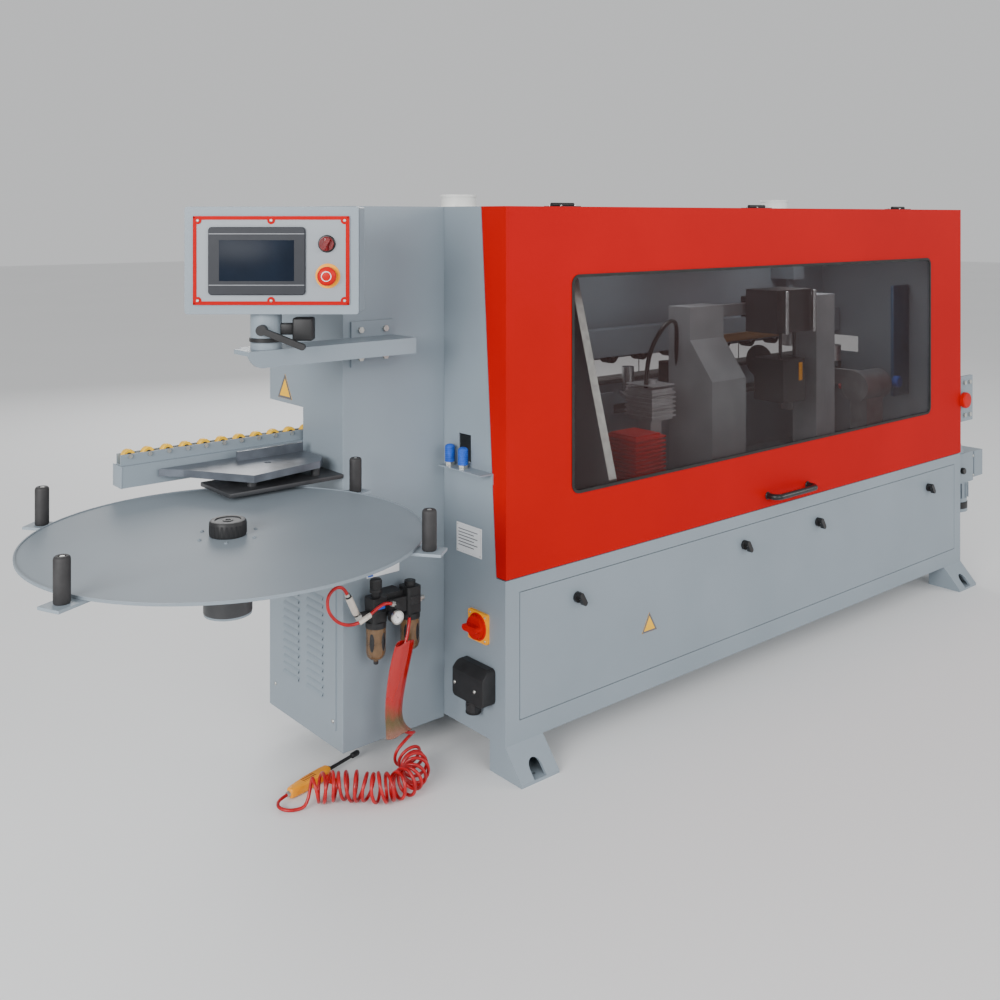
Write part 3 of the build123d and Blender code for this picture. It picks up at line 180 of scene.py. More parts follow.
finishSettings = {
    "greyPowderCoat": dict(
        colour=(0.225, 0.268, 0.305), cloud=3.0, grain=900, rough=0.42, bump=0.09, spread=0.04,
        coat=0.05, shine=0.35,
    ),
    "paleGreyCoat": dict(
        colour=(0.36, 0.38, 0.39), cloud=4.0, grain=900, rough=0.4, bump=0.15, spread=0.03, coat=0.15,
    ),
    "discGrey": dict(
        colour=(0.20, 0.235, 0.265), cloud=2.2, grain=700, rough=0.5, bump=0.12, spread=0.05,
        shine=0.25,
    ),
    "redPowderCoat": dict(
        colour=(0.43, 0.0, 0.001), cloud=2.5, grain=900, rough=0.5, bump=0.14, spread=0.05, shine=0.08,
    ),
    "redGuardCoat": dict(
        colour=(0.60, 0.004, 0.004), cloud=14, grain=900, rough=0.4, bump=0.2, spread=0.12, shine=0.2,
    ),
    "blackPlastic": dict(
        colour=(0.018, 0.018, 0.019), cloud=25, grain=1400, rough=0.46, bump=0.16, spread=0.2, shine=0.3,
    ),
    "blackGrip": dict(
        colour=(0.02, 0.019, 0.02), cloud=40, grain=420, rough=0.62, bump=0.55, depth=0.0008, spread=0.25,
    ),
    "handleGloss": dict(
        colour=(0.012, 0.012, 0.013), cloud=20, grain=1200, rough=0.28, bump=0.12, spread=0.15, coat=0.1,
        shine=0.35,
    ),
    "redPlastic": dict(
        colour=(0.50, 0.003, 0.002), cloud=30, grain=1300, rough=0.32, bump=0.12, spread=0.08,
        shine=0.14,
    ),
    "deepRedPlastic": dict(
        colour=(0.15, 0.001, 0.003), cloud=30, grain=1300, rough=0.28, bump=0.1, spread=0.1, coat=0.1, shine=0.3,
    ),
    "yellowPlastic": dict(
        colour=(0.90, 0.36, 0.005), cloud=28, grain=1300, rough=0.38, bump=0.12, spread=0.07, shine=0.3,
    ),
    "wheelYellow": dict(colour=(0.85, 0.48, 0.015), cloud=60, grain=1200, rough=0.42, bump=0.2, spread=0.12),
    "orangePlastic": dict(
        colour=(0.95, 0.34, 0.006), cloud=22, grain=1100, rough=0.36, bump=0.14, spread=0.16, coat=0.1,
        shine=0.3,
    ),
    "blueSinter": dict(
        colour=(0.01, 0.09, 0.50), cloud=60, grain=520, rough=0.55, bump=0.7, depth=0.0006, spread=0.2,
    ),
    "screenHousing": dict(
        colour=(0.018, 0.020, 0.026), cloud=18, grain=1500, rough=0.42, bump=0.14, spread=0.08, shine=0.25,
    ),
    "screenGlass": dict(
        colour=(0.006, 0.011, 0.022), cloud=9, grain=200, rough=0.35, roughSpread=0.02, bump=0.01,
        spread=0.2, shine=0.1,
    ),
    "lightLine": dict(colour=(0.22, 0.23, 0.25), cloud=30, grain=900, rough=0.4, bump=0.05, spread=0.05),
    "facePlate": dict(
        colour=(0.265, 0.29, 0.315), cloud=6, grain=1500, rough=0.36, bump=0.08, spread=0.03,
        shine=0.3,
    ),
    "whiteLabel": dict(
        colour=(0.78, 0.79, 0.80), cloud=12, grain=1200, rough=0.38, bump=0.05, spread=0.04, coat=0.3,
    ),
    "labelInk": dict(colour=(0.10, 0.105, 0.12), cloud=12, grain=1200, rough=0.45, bump=0.04, spread=0.1),
    "yellowSticker": dict(colour=(0.86, 0.46, 0.004), cloud=15, grain=1200, rough=0.36, bump=0.05, spread=0.05),
    "castTable": dict(
        colour=(0.12, 0.135, 0.16), metal=0.5, cloud=18, grain=340, rough=0.36, bump=0.25, spread=0.22,
    ),
    "castIron": dict(
        colour=(0.30, 0.325, 0.345), metal=0.15, cloud=9, grain=260, rough=0.5, bump=0.16, depth=0.0008,
        spread=0.12,
    ),
    "blackSteel": dict(colour=(0.03, 0.031, 0.034), cloud=14, grain=500, rough=0.42, bump=0.03, spread=0.25),
    "groundSteel": dict(
        colour=(0.60, 0.61, 0.62), metal=1.0, cloud=12, grain=520, stretch=(1, 1, 9), rough=0.26,
        bump=0.15, spread=0.08,
    ),
    "zincSteel": dict(colour=(0.55, 0.55, 0.52), metal=0.9, cloud=60, grain=700, rough=0.34, bump=0.2, spread=0.14),
    "castAluminium": dict(
        colour=(0.52, 0.53, 0.54), metal=0.85, cloud=20, grain=380, rough=0.4, bump=0.15, spread=0.12,
    ),
    "blackRubber": dict(
        colour=(0.022, 0.021, 0.02), cloud=30, grain=600, rough=0.7, bump=0.5, spread=0.2, shine=0.25,
    ),
    "chainPads": dict(colour=(0.05, 0.05, 0.052), cloud=30, grain=380, rough=0.6, bump=0.6, spread=0.25),
    "portPlastic": dict(colour=(0.70, 0.70, 0.67), cloud=14, grain=900, rough=0.5, bump=0.15, spread=0.04),
    "dialFace": dict(colour=(0.80, 0.80, 0.78), cloud=20, grain=1000, rough=0.3, bump=0.03, spread=0.02, coat=0.5),
    "blackHose": dict(colour=(0.02, 0.02, 0.021), cloud=40, grain=800, rough=0.4, bump=0.2, spread=0.2, shine=0.3),
    "redHose": dict(
        colour=(0.40, 0.002, 0.006), cloud=40, grain=700, rough=0.3, bump=0.1, spread=0.25, coat=0.15,
        shine=0.35,
    ),
    "clearFitting": dict(
        colour=(0.55, 0.50, 0.44), cloud=40, grain=600, rough=0.22, bump=0.15, spread=0.1, coat=0.4,
    ),
    "blueEnamel": dict(colour=(0.05, 0.11, 0.20), cloud=10, grain=700, rough=0.4, bump=0.04, spread=0.15),
    "brownBoard": dict(
        colour=(0.20, 0.11, 0.05), cloud=16, grain=300, stretch=(0.2, 3, 3), rough=0.5, bump=0.15, spread=0.25,
    ),
    "smokedSheet": dict(
        colour=(0.028, 0.014, 0.014), cloud=1.6, grain=40, rough=0.06, roughSpread=0.02, bump=0.006,
        spread=0.25, alpha=0.36, shine=0.2,
    ),
    "amberBowl": dict(
        colour=(0.15, 0.085, 0.04), cloud=28, grain=300, rough=0.16, bump=0.06, spread=0.3, alpha=0.86,
        coat=0.2, shine=0.4,
    ),
}
finishes = {name: makeFinish(name, settings) for name, settings in finishSettings.items()}


# clear red film that turns pale and olive towards its lower end, creased along its length
def makeSleeveFilm():
    finish = bpy.data.materials.new("sleeveFilm")
    finish.use_nodes = True
    tree = finish.node_tree
    shader = tree.nodes["Principled BSDF"]
    place = nodeOf(tree, "ShaderNodeTexCoord").outputs["Object"]
    parts = nodeOf(tree, "ShaderNodeSeparateXYZ")
    tree.links.new(place, parts.inputs["Vector"])
    height = nodeOf(tree, "ShaderNodeMapRange")
    height.inputs["From Min"].default_value = 0.11
    height.inputs["From Max"].default_value = 0.38
    tree.links.new(parts.outputs["Z"], height.inputs["Value"])
    creases = nodeOf(tree, "ShaderNodeTexNoise", Scale=38.0, Detail=5.0)
    squeeze = nodeOf(tree, "ShaderNodeMapping", Scale=(1, 1, 0.35))
    tree.links.new(place, squeeze.inputs["Vector"])
    tree.links.new(squeeze.outputs["Vector"], creases.inputs["Vector"])
    mix = nodeOf(tree, "ShaderNodeMath", operation="MULTIPLY_ADD")
    mix.inputs[1].default_value = 0.34
    tree.links.new(creases.outputs["Fac"], mix.inputs[0])
    tree.links.new(height.outputs["Result"], mix.inputs[2])
    ramp = nodeOf(tree, "ShaderNodeValToRGB")
    ramp.color_ramp.elements[0].position = 0.12
    ramp.color_ramp.elements[0].color = (0.34, 0.12, 0.09, 1)
    ramp.color_ramp.elements[1].position = 0.95
    ramp.color_ramp.elements[1].color = (0.46, 0.006, 0.006, 1)
    olive = ramp.color_ramp.elements.new(0.34)
    olive.color = (0.10, 0.075, 0.02, 1)
    red = ramp.color_ramp.elements.new(0.5)
    red.color = (0.42, 0.008, 0.006, 1)
    tree.links.new(mix.outputs["Value"], ramp.inputs["Fac"])
    tree.links.new(ramp.outputs["Color"], shader.inputs["Base Color"])
    bump = nodeOf(tree, "ShaderNodeBump", Strength=0.5, Distance=0.003)
    tree.links.new(creases.outputs["Fac"], bump.inputs["Height"])
    tree.links.new(bump.outputs["Normal"], shader.inputs["Normal"])
    shader.inputs["Roughness"].default_value = 0.16
    shader.inputs["Alpha"].default_value = 0.74
    shader.inputs["Coat Weight"].default_value = 0.5
    return finish


finishes["sleeveFilm"] = makeSleeveFilm()
print("finishes made:", len(finishes))


# shapes that the pieces below are put together from
# a place whose x runs along and whose z points outward
def placed(origin, along, outward):
    z = Vector(outward).normalized()
    x = Vector(along).normalized()
    y = z.cross(x)
    turn = Matrix((x, y, z)).transposed().to_4x4()
    return Matrix.Translation(Vector(origin)) @ turn


# a place that stands upright, its x to the right
def upright(x, y, z):
    return placed((x, y, z), rightward, up)


def newVertsSince(bm, before):
    return [vert for vert in bm.verts if vert not in before]


def bevelled(bm, geometry, width, steps, affect="EDGES"):
    bmesh.ops.bevel(
        bm, geom=geometry, offset=width, offset_type="OFFSET", segments=steps,
        profile=0.5, affect=affect, material=-1, clamp_overlap=True,
    )


def addBox(bm, size, place, rounding=0.0, steps=2):
    before = set(bm.verts)
    bmesh.ops.create_cube(bm, size=1)
    verts = newVertsSince(bm, before)
    bmesh.ops.scale(bm, vec=Vector(size), verts=verts)
    if rounding:
        edges = list({edge for vert in verts for edge in vert.link_edges})
        bevelled(bm, edges, rounding, steps)
    bmesh.ops.transform(bm, matrix=place, verts=newVertsSince(bm, before))


# a profile of (radius, height) points, closed at the axis, turned round the place's z
def addTurned(bm, profile, place, steps=32):
    before = set(bm.verts)
    verts = [bm.verts.new((radius, 0, height)) for radius, height in profile]
    edges = [bm.edges.new(pair) for pair in zip(verts, verts[1:])]
    bmesh.ops.spin(
        bm, geom=verts + edges, axis=(0, 0, 1), cent=(0, 0, 0),
        angle=math.tau, steps=steps, use_merge=True,
    )
    bmesh.ops.remove_doubles(bm, verts=newVertsSince(bm, before), dist=1e-6)
    bmesh.ops.transform(bm, matrix=place, verts=newVertsSince(bm, before))


# the profile of a plain disc or post between two heights
def disc(radius, low, high):
    return [(0, low), (radius, low), (radius, high), (0, high)]


# a flat outline given depth along the place's z
def addPlate(bm, outline, thickness, place, rounding=0.0, steps=1):
    before = set(bm.verts)
    face = bm.faces.new([bm.verts.new((x, y, 0)) for x, y in outline])
    grown = bmesh.ops.extrude_face_region(bm, geom=[face])
    lifted = [item for item in grown["geom"] if isinstance(item, bmesh.types.BMVert)]
    bmesh.ops.translate(bm, vec=(0, 0, thickness), verts=lifted)
    if rounding:
        edges = list({edge for vert in newVertsSince(bm, before) for edge in vert.link_edges})
        bevelled(bm, edges, rounding, steps)
    bmesh.ops.transform(bm, matrix=place, verts=newVertsSince(bm, before))


# a flat rectangular ring: a plate inset and opened
def addFrame(bm, width, height, bar, depth, place, rounding=0.0):
    before = set(bm.verts)
    corners = [(-width / 2, -height / 2), (width / 2, -height / 2), (width / 2, height / 2),
        (-width / 2, height / 2)]
    face = bm.faces.new([bm.verts.new((x, y, 0)) for x, y in corners])
    if rounding:
        bevelled(bm, list(face.verts), rounding, 5, affect="VERTICES")
        face = [item for item in bm.faces if item.verts[0] not in before][-1]
    bmesh.ops.inset_individual(bm, faces=[face], thickness=bar, use_even_offset=True)
    bmesh.ops.delete(bm, geom=[face], context="FACES_ONLY")
    ring = [item for item in bm.faces if item.verts[0] not in before]
    grown = bmesh.ops.extrude_face_region(bm, geom=ring)
    lifted = [item for item in grown["geom"] if isinstance(item, bmesh.types.BMVert)]
    bmesh.ops.translate(bm, vec=(0, 0, depth), verts=lifted)
    bmesh.ops.transform(bm, matrix=place, verts=newVertsSince(bm, before))


# a low domed screw head with a round recess
def addScrew(bm, place, radius):
    profile = ((0, 0), (1, 0), (1, 0.35), (0.75, 0.6), (0.45, 0.66), (0.42, 0.3), (0, 0.3))
    addTurned(bm, [(radius * out, radius * rise) for out, rise in profile], place, steps=14)


# a round tube along a smooth line through the given points
def addPipe(bm, points, radius, sides=10):
    curve = makeSpline("pipeLine", points)
    curve.data.bevel_depth = radius
    curve.data.bevel_resolution = max(1, sides // 4)
    curve.data.use_fill_caps = True
    mesh = bpy.data.meshes.new_from_object(curve)
    bm.from_mesh(mesh)
    bpy.data.meshes.remove(mesh)
    bpy.data.objects.remove(curve)


# an open smooth spline whose control points are the route's points
def makeSpline(name, points, resolution=6):
    curve = bpy.data.curves.new(name, "CURVE")
    curve.dimensions = "3D"
    spline = curve.splines.new("NURBS")
    spline.points.add(len(points) - 1)
    for handle, point in zip(spline.points, points):
        handle.co = (*point, 1)
    spline.order_u = 3
    spline.use_endpoint_u = True
    spline.resolution_u = resolution
    piece = bpy.data.objects.new(name, curve)
    bpy.context.scene.collection.objects.link(piece)
    return piece


# closes a piece: outward faces, smooth shading with crisp edges, its body and finish
def finishPiece(bm, name, body, finishName, stands=(), sharp=35):
    bmesh.ops.remove_doubles(bm, verts=bm.verts, dist=1e-6)
    bmesh.ops.recalc_face_normals(bm, faces=bm.faces)
    mesh = bpy.data.meshes.new(name)
    bm.to_mesh(mesh)
    bm.free()
    for face in mesh.polygons:
        face.use_smooth = True
    mesh.set_sharp_from_angle(angle=math.radians(sharp))
    piece = bpy.data.objects.new(name, mesh)
    mesh.materials.append(finishes[finishName])
    bpy.context.scene.collection.objects.link(piece)
    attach(piece, body)
    if stands:
        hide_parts(*stands)
    return piece


# hoses
hoses = {
    "diameter": 0.008,
    "coilRadius": 0.033,
    "turns": 18,
    "pointsPerTurn": 14,
    "loopLength": 0.32,
    "spiralLength": 4.35,
}
airY = -100
loopRoute = [
    mm(leftEnd * 1000 + x, airY + y, z) for x, y, z in (
        (-220.5, -38, 437), (-241, -38, 446), (-265, -39, 440), (-292, -36, 423), (-319, -32, 411),
        (-348, -27, 412), (-374, -21, 427), (-390, -14, 452), (-389, -8, 478), (-376, -5, 494),
        (-355, -3, 500), (-336, -1, 490), (-326, 0, 470),
    )
]
coilRoute = [
    mm(leftEnd * 1000 + x, frontFace * 1000 + y, z) for x, y, z in (
        (-167, 188, 50), (-170, 150, 41), (-186, 114, 38), (-220, 91, 38), (-262, 86, 38),
        (-302, 106, 38), (-334, 147, 38), (-372, 182, 38), (-418, 203, 38),
    )
]
dropRoute = [
    mm(leftEnd * 1000 + x, y, z) for x, y, z in (
        (-168, -131, 390), (-171, -134, 372), (-180, -138, 346), (-191, -138, 318), (-202, -138, 288),
        (-211, -138, 256), (-218, -138, 222), (-221, -138, 188), (-217, -138, 158), (-204, -138, 131),
        (-182, -137, 113), (-160, -132, 103), (-145, -121, 97), (-143, -110, 91),
    )
]
tailRoute = [
    mm(leftEnd * 1000 + x, frontFace * 1000 + y, z) for x, y, z in (
        (-441, 193, 10), (-467, 197, 7), (-489, 211, 8), (-497, 231, 10), (-488, 248, 13), (-469, 256, 14),
        (-451, 261.4, 14),
    )
]


# points that wind round the route's own smooth line; the turns differ a little in size
def coilTurns(route, settings):
    guide = makeSpline("coilGuide", route, resolution=16)
    line = bpy.data.meshes.new_from_object(guide)
    path = [vert.co.copy() for vert in line.vertices]
    bpy.data.meshes.remove(line)
    bpy.data.objects.remove(guide)
    reach = [0.0]
    for here, after in zip(path, path[1:]):
        reach.append(reach[-1] + (after - here).length)
    count = settings["turns"] * settings["pointsPerTurn"]
    points = []
    for step in range(count + 1):
        goal = reach[-1] * step / count
        index = max(1, next((number for number, value in enumerate(reach) if value >= goal), len(reach) - 1))
        share = (goal - reach[index - 1]) / (reach[index] - reach[index - 1])
        centre = path[index - 1].lerp(path[index], share)
        ahead = (path[index] - path[index - 1]).normalized()
        side = ahead.cross(up).normalized()
        top = side.cross(ahead)
        turn = math.tau * step / settings["pointsPerTurn"]
        radius = settings["coilRadius"] * (0.94 + 0.05 * math.sin(turn * 0.31 + 1.0))
        lean = 0.006 * math.sin(turn * 0.23) * math.cos(turn)
        low = -centre.z + settings["diameter"] / 2 + 0.0004
        point = centre + top * (radius * math.cos(turn)) + side * (radius * math.sin(turn)) + ahead * lean
        point.z = max(point.z, centre.z + low)
        points.append(point)
    return points


def makeTube(name, route, diameter, resolution, roundness):
    piece = makeSpline(name, route, resolution)
    piece.data.bevel_depth = diameter / 2
    piece.data.bevel_resolution = roundness
    piece.data.use_fill_caps = True
    piece.data.materials.append(finishes["redHose"])
    return piece


def makeLoopHose(settings):
    piece = makeTube("loopHose", loopRoute, settings["diameter"], 6, 4)
    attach(piece, "frame")
    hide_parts("loop_hose")


def makeSpiralHose(settings, fittings):
    route = dropRoute + coilTurns(coilRoute, settings)[1:] + tailRoute
    piece = makeTube("spiralHose", route, settings["diameter"], 4, 3)
    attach(piece, "frame")
    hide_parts("spiral_hose")


sleeve = {
    "sections": (
        # height, x from the left end, width, depth
        (0.338, -0.186, 0.052, 0.015), (0.300, -0.196, 0.056, 0.020),
        (0.250, -0.209, 0.054, 0.022), (0.205, -0.218, 0.048, 0.021), (0.165, -0.221, 0.044, 0.020),
        (0.135, -0.213, 0.052, 0.020), (0.116, -0.203, 0.072, 0.022),
    ),
    "y": -0.138,
    "sides": 36,
    "film": 0.0006,
}


def makeSleeve(settings):
    bm = bmesh.new()
    rings = []
    for height, x, width, depth in settings["sections"]:
        made = bmesh.ops.create_circle(bm, cap_ends=False, segments=settings["sides"], radius=0.5)
        for vert in made["verts"]:
            angle = math.atan2(vert.co.y, vert.co.x)
            flat = 1 + 0.10 * math.cos(4 * angle)
            crease = 1 + 0.06 * math.sin(5 * angle + height * 60)
            vert.co.x = math.cos(angle) * 0.5 * width * flat
            vert.co.y = math.sin(angle) * 0.5 * depth * crease
            vert.co.z = 0.004 * math.sin(2 * angle + height * 30)
        bmesh.ops.translate(bm, vec=(leftEnd + x, settings["y"], height), verts=made["verts"])
        rings.append(made["verts"])
    for above, below in zip(rings, rings[1:]):
        edges = [edge for edge in bm.edges if edge.verts[0] in above and edge.verts[1] in above]
        edges += [edge for edge in bm.edges if edge.verts[0] in below and edge.verts[1] in below]
        bmesh.ops.bridge_loops(bm, edges=edges)
    piece = finishPiece(bm, "filmSleeve", "frame", "sleeveFilm", stands=["hose_sleeve"], sharp=80)
    wall = piece.modifiers.new("film", "SOLIDIFY")
    wall.thickness = settings["film"]
    soft = piece.modifiers.new("soft", "SUBSURF")
    soft.levels = 2
    soft.render_levels = 2
    return piece


makeLoopHose(hoses)
filmSleeve = makeSleeve(sleeve)
print("loop hose and sleeve made")

# blow gun at the end of the spiral hose
gun = {
    "tail": mm(leftEnd * 1000 - 449, frontFace * 1000 + 262, 14),
    "head": mm(leftEnd * 1000 - 322, frontFace * 1000 + 296, 14),
    "outline": (
        (-0.002, -0.0095), (0.030, -0.0135), (0.070, -0.0155), (0.092, -0.0165), (0.112, -0.0150), (0.131, -0.0100),
        (0.134, 0.0020), (0.131, 0.0130), (0.110, 0.0155), (0.060, 0.0160), (0.020, 0.0130), (-0.002, 0.0095),
    ),
    "trigger": (
        (0.0995, -0.0178), (0.1125, -0.0180), (0.1110, -0.0330), (0.1050, -0.0570), (0.0985, -0.0612),
        (0.0920, -0.0590), (0.0940, -0.0460), (0.0945, -0.0330),
    ),
    "thickness": 0.0235,
    "trigThickness": 0.0135,
}
gunAlong = (gun["head"] - gun["tail"]).normalized()
gunFlat = placed((gun["tail"].x, gun["tail"].y, 0), gunAlong, up)
gunAxis = placed(gun["tail"], up, gunAlong)


def makeGun(settings):
    bm = bmesh.new()
    lift = Matrix.Translation((0, 0, 0.00225))
    addPlate(bm, settings["outline"], settings["thickness"], gunFlat @ lift, rounding=0.0055, steps=4)
    body = finishPiece(bm, "gunBody", "frame", "orangePlastic", stands=["blow_gun"], sharp=50)
    bm = bmesh.new()
    lowered = gunAxis @ Matrix.Translation((0, -0.002, 0))
    addTurned(bm, [
        (0, 0.126), (0.0085, 0.126), (0.0085, 0.136), (0.0045, 0.139), (0.0040, 0.216), (0.0068, 0.219),
        (0.0070, 0.238), (0.0055, 0.242), (0.0025, 0.242), (0.0025, 0.238), (0, 0.238),
    ], lowered, steps=24)
    nozzle = finishPiece(bm, "gunNozzle", "frame", "blackPlastic")
    bm = bmesh.new()
    addTurned(bm, [
        (0, -0.010), (0.0055, -0.010), (0.0075, -0.007), (0.0075, 0.004), (0.0095, 0.005), (0.0095, 0.010), (0,
            0.010),
    ], gunAxis, steps=6)
    collar = finishPiece(bm, "gunCollar", "frame", "zincSteel", sharp=20)
    bm = bmesh.new()
    lift = Matrix.Translation((0, 0, 0.0073))
    addPlate(bm, settings["trigger"], settings["trigThickness"], gunFlat @ lift, rounding=0.003, steps=3)
    trigger = finishPiece(bm, "gunTrigger", "trigger", "redPlastic", stands=["gun_trigger"],
        sharp=50)
    bm = bmesh.new()
    ridge = gunFlat @ Matrix.Translation((0.045, 0.001, 0.0255))
    for number in range(7):
        addBox(bm, (0.0022, 0.018, 0.0016), ridge @ Matrix.Translation((0.006 * number, 0, 0)), rounding=0.0006,
            steps=1)
    grip = finishPiece(bm, "gunGrip", "frame", "deepRedPlastic")
    return [body, nozzle, collar, trigger, grip]


makeSpiralHose(hoses, makeGun(gun) + [filmSleeve])
print("spiral hose and blow gun made")

# finishes on the carried-over nodes
nodeFinishes = {
    "greyPowderCoat": (
        "base_cabinet", "floor_feet", "left_end_plate", "right_end_plate", "rear_cover", "infeed_tower",
        "louvre_panel", "control_bracket", "control_box", "reel_bracket", "reel_arms", "roller_bar", "feed_beam",
        "pressure_beam", "service_panel", "drive_gearbox", "drive_motor",
    ),
    "paleGreyCoat": ("partition_wall",),
    "discGrey": ("reel_disc",),
    "castTable": ("tape_table",),
    "castIron": ("unit_columns",),
    "redPowderCoat": ("hood_shell",),
    "redGuardCoat": ("glue_guard",),
    "smokedSheet": ("hood_window",),
    "handleGloss": ("hood_handle",),
    "blackPlastic": (
        "hinge_leaves", "hood_hinges", "clamp_lever", "power_inlet", "grip_posts", "hub_knob", "latch_1",
        "latch_2", "latch_3", "latch_4", "regulator_knob", "air_unit",
    ),
    "chainPads": ("feed_chain",),
    "deepRedPlastic": ("selector_knob",),
    "redPlastic": ("stop_button", "mains_knob"),
    "yellowPlastic": ("mains_switch_plate",),
    "wheelYellow": ("support_wheels",),
    "orangePlastic": ("blow_gun", "gun_trigger"),
    "blueSinter": ("exhaust_silencers",),
    "screenHousing": ("touch_panel",),
    "blackSteel": ("end_trim_saw",),
    "groundSteel": ("drive_drum", "glue_roller"),
    "zincSteel": ("fasteners",),
    "castAluminium": ("glue_tank", "finishing_motors"),
    "blackRubber": ("press_roller", "pressure_wheels"),
    "portPlastic": ("dust_ports",),
    "amberBowl": ("air_bowls",),
}
for finishName, names in nodeFinishes.items():
    for name in names:
        node = frame["nodes"][name]
        if not node.material_slots:
            node.data.materials.append(finishes[finishName])
        for holder in node.material_slots:
            holder.material = finishes[finishName]


# a place on an upright face, its y pointing up
def facing(origin, outward):
    return placed(origin, up.cross(Vector(outward)), outward)


frontward = Vector((0, -1, 0))
leftward = Vector((-1, 0, 0))


# a copy of a node's shape with its edges rounded off
def softenedCopy(name, node, body, finishName, width, sharp=35):
    bm = bmesh.new()
    bm.from_mesh(frame["nodes"][node].data)
    bmesh.ops.remove_doubles(bm, verts=bm.verts, dist=1e-5)
    bmesh.ops.dissolve_limit(bm, angle_limit=math.radians(2), verts=bm.verts, edges=bm.edges)
    piece = finishPiece(bm, name, body, finishName, stands=[node], sharp=sharp)
    rounding = piece.modifiers.new("edges", "BEVEL")
    rounding.width = width
    rounding.segments = 3
    rounding.limit_method = "ANGLE"
    rounding.angle_limit = math.radians(40)
    rounding.harden_normals = True
    return piece


softened = {
    # node: body, slot, finish, edge width
    "control_box": ("control", "grey_paint", "greyPowderCoat", 0.0025),
    "infeed_tower": ("frame", "grey_paint", "greyPowderCoat", 0.0015),
    "power_inlet": ("frame", "black_plastic", "blackPlastic", 0.002),
    "drive_gearbox": ("frame", "grey_paint", "greyPowderCoat", 0.003),
    "hood_handle": ("hood", "black_plastic", "handleGloss", 0.0035),
    "touch_panel": ("control", "screen_plastic", "screenHousing", 0.0018),
    "reel_arms": ("frame", "grey_paint", "greyPowderCoat", 0.001),
    "clamp_lever": ("lever", "black_plastic", "blackPlastic", 0.002),
}
for node, (body, slotName, finishName, width) in softened.items():
    softenedCopy(node + "_soft", node, body, finishName, width)
print("nodes finished:", sum(len(names) for names in nodeFinishes.values()))

# hood: window seal, handle feet, hinge screws
hood = {
    "sealBar": 0.008,
    "sealDepth": 0.0022,
    "sealCorner": 0.026,
    "footRadius": 0.012,
    "screwRadius": 0.0032,
}
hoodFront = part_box("hood_shell")[0].y


def makeHoodDetails(settings):
    low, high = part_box("hood_window")
    lap = 0.025
    width = high.x - low.x - 2 * lap
    height = high.z - low.z - 2 * lap
    middle = ((low.x + high.x) / 2, hoodFront - 0.0002, (low.z + high.z) / 2)
    bm = bmesh.new()
    addFrame(
        bm, width + settings["sealBar"], height + settings["sealBar"], settings["sealBar"], -settings["sealDepth"] * 2,
        facing(middle, frontward) @ Matrix.Translation((0, 0,
            settings["sealDepth"])), rounding=settings["sealCorner"],
    )
    finishPiece(bm, "windowSeal", "hood", "blackRubber")
    low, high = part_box("hood_handle")
    bm = bmesh.new()
    for x in (low.x + 0.010, high.x - 0.010):
        addTurned(bm, [
            (0, 0), (settings["footRadius"], 0), (settings["footRadius"], 0.002), (settings["footRadius"] * 0.86,
                0.0035),
            (0, 0.0035),
        ], facing((x, hoodFront, (low.z + high.z) / 2), frontward), steps=28)
    finishPiece(bm, "handleFeet", "hood", "handleGloss")
    for piece, node, body in (("leafScrews", "hinge_leaves", "hood"), ("hingeScrews", "hood_hinges", "frame")):
        low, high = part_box(node)
        y = low.y + 0.008 if body == "hood" else high.y - 0.008
        bm = bmesh.new()
        for middleX in (low.x + 0.040, (low.x + high.x) / 2, high.x - 0.040):
            for x in (middleX - 0.026, middleX + 0.026):
                addScrew(bm, upright(x, y, low.z + 0.003), settings["screwRadius"])
        finishPiece(bm, piece, body, "zincSteel")


makeHoodDetails(hood)

# cabinet front: latches, blank sticker
cabinet = {
    "latchScrew": 0.0052,
    "stickerSide": 0.062,
    "stickerPlace": (leftEnd + 0.523, 0.253),
}


def addTriangle(bm, side, place, thickness=0.0006):
    height = side * math.sqrt(3) / 2
    addPlate(bm, [(-side / 2, -height / 3), (side / 2, -height / 3), (0, height * 2 / 3)], thickness, place)


def makeSticker(name, body, side, origin, outward):
    bm = bmesh.new()
    addTriangle(bm, side, facing(origin, outward))
    finishPiece(bm, name, body, "yellowSticker")
    bm = bmesh.new()
    before = facing(Vector(origin) + Vector(outward) * 0.0004, outward)
    addTriangle(bm, side * 0.985, before, 0.0004)
    bmesh.ops.inset_individual(bm, faces=[max(bm.faces,
        key=lambda face: face.calc_center_median().dot(Vector(outward)))],
                               thickness=side * 0.075, use_even_offset=True)
    inner = max(bm.faces, key=lambda face: (round(face.calc_center_median().dot(Vector(outward)), 6),
        face.calc_area()))
    bmesh.ops.delete(bm, geom=[inner], context="FACES_ONLY")
    finishPiece(bm, name + "Border", body, "labelInk")


def makeCabinetDetails(settings):
    for number in (1, 2, 3, 4):
        node = "latch_%d" % number
        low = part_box(node)[0]
        pivot = joints["latch_turn_%d" % number]["pos_m"]
        bm = bmesh.new()
        addScrew(bm, facing((pivot[0], low.y + 0.0085, pivot[2]), frontward), settings["latchScrew"])
        finishPiece(bm, node + "_screw", "turn_" + node, "zincSteel")
        softenedCopy(node + "_soft", node, "turn_" + node, "handleGloss", 0.0016)
    x, z = settings["stickerPlace"]
    makeSticker("panelSticker", "panel", settings["stickerSide"], (x, frontFace - 0.0001, z), frontward)


makeCabinetDetails(cabinet)
print("hood and cabinet details made")

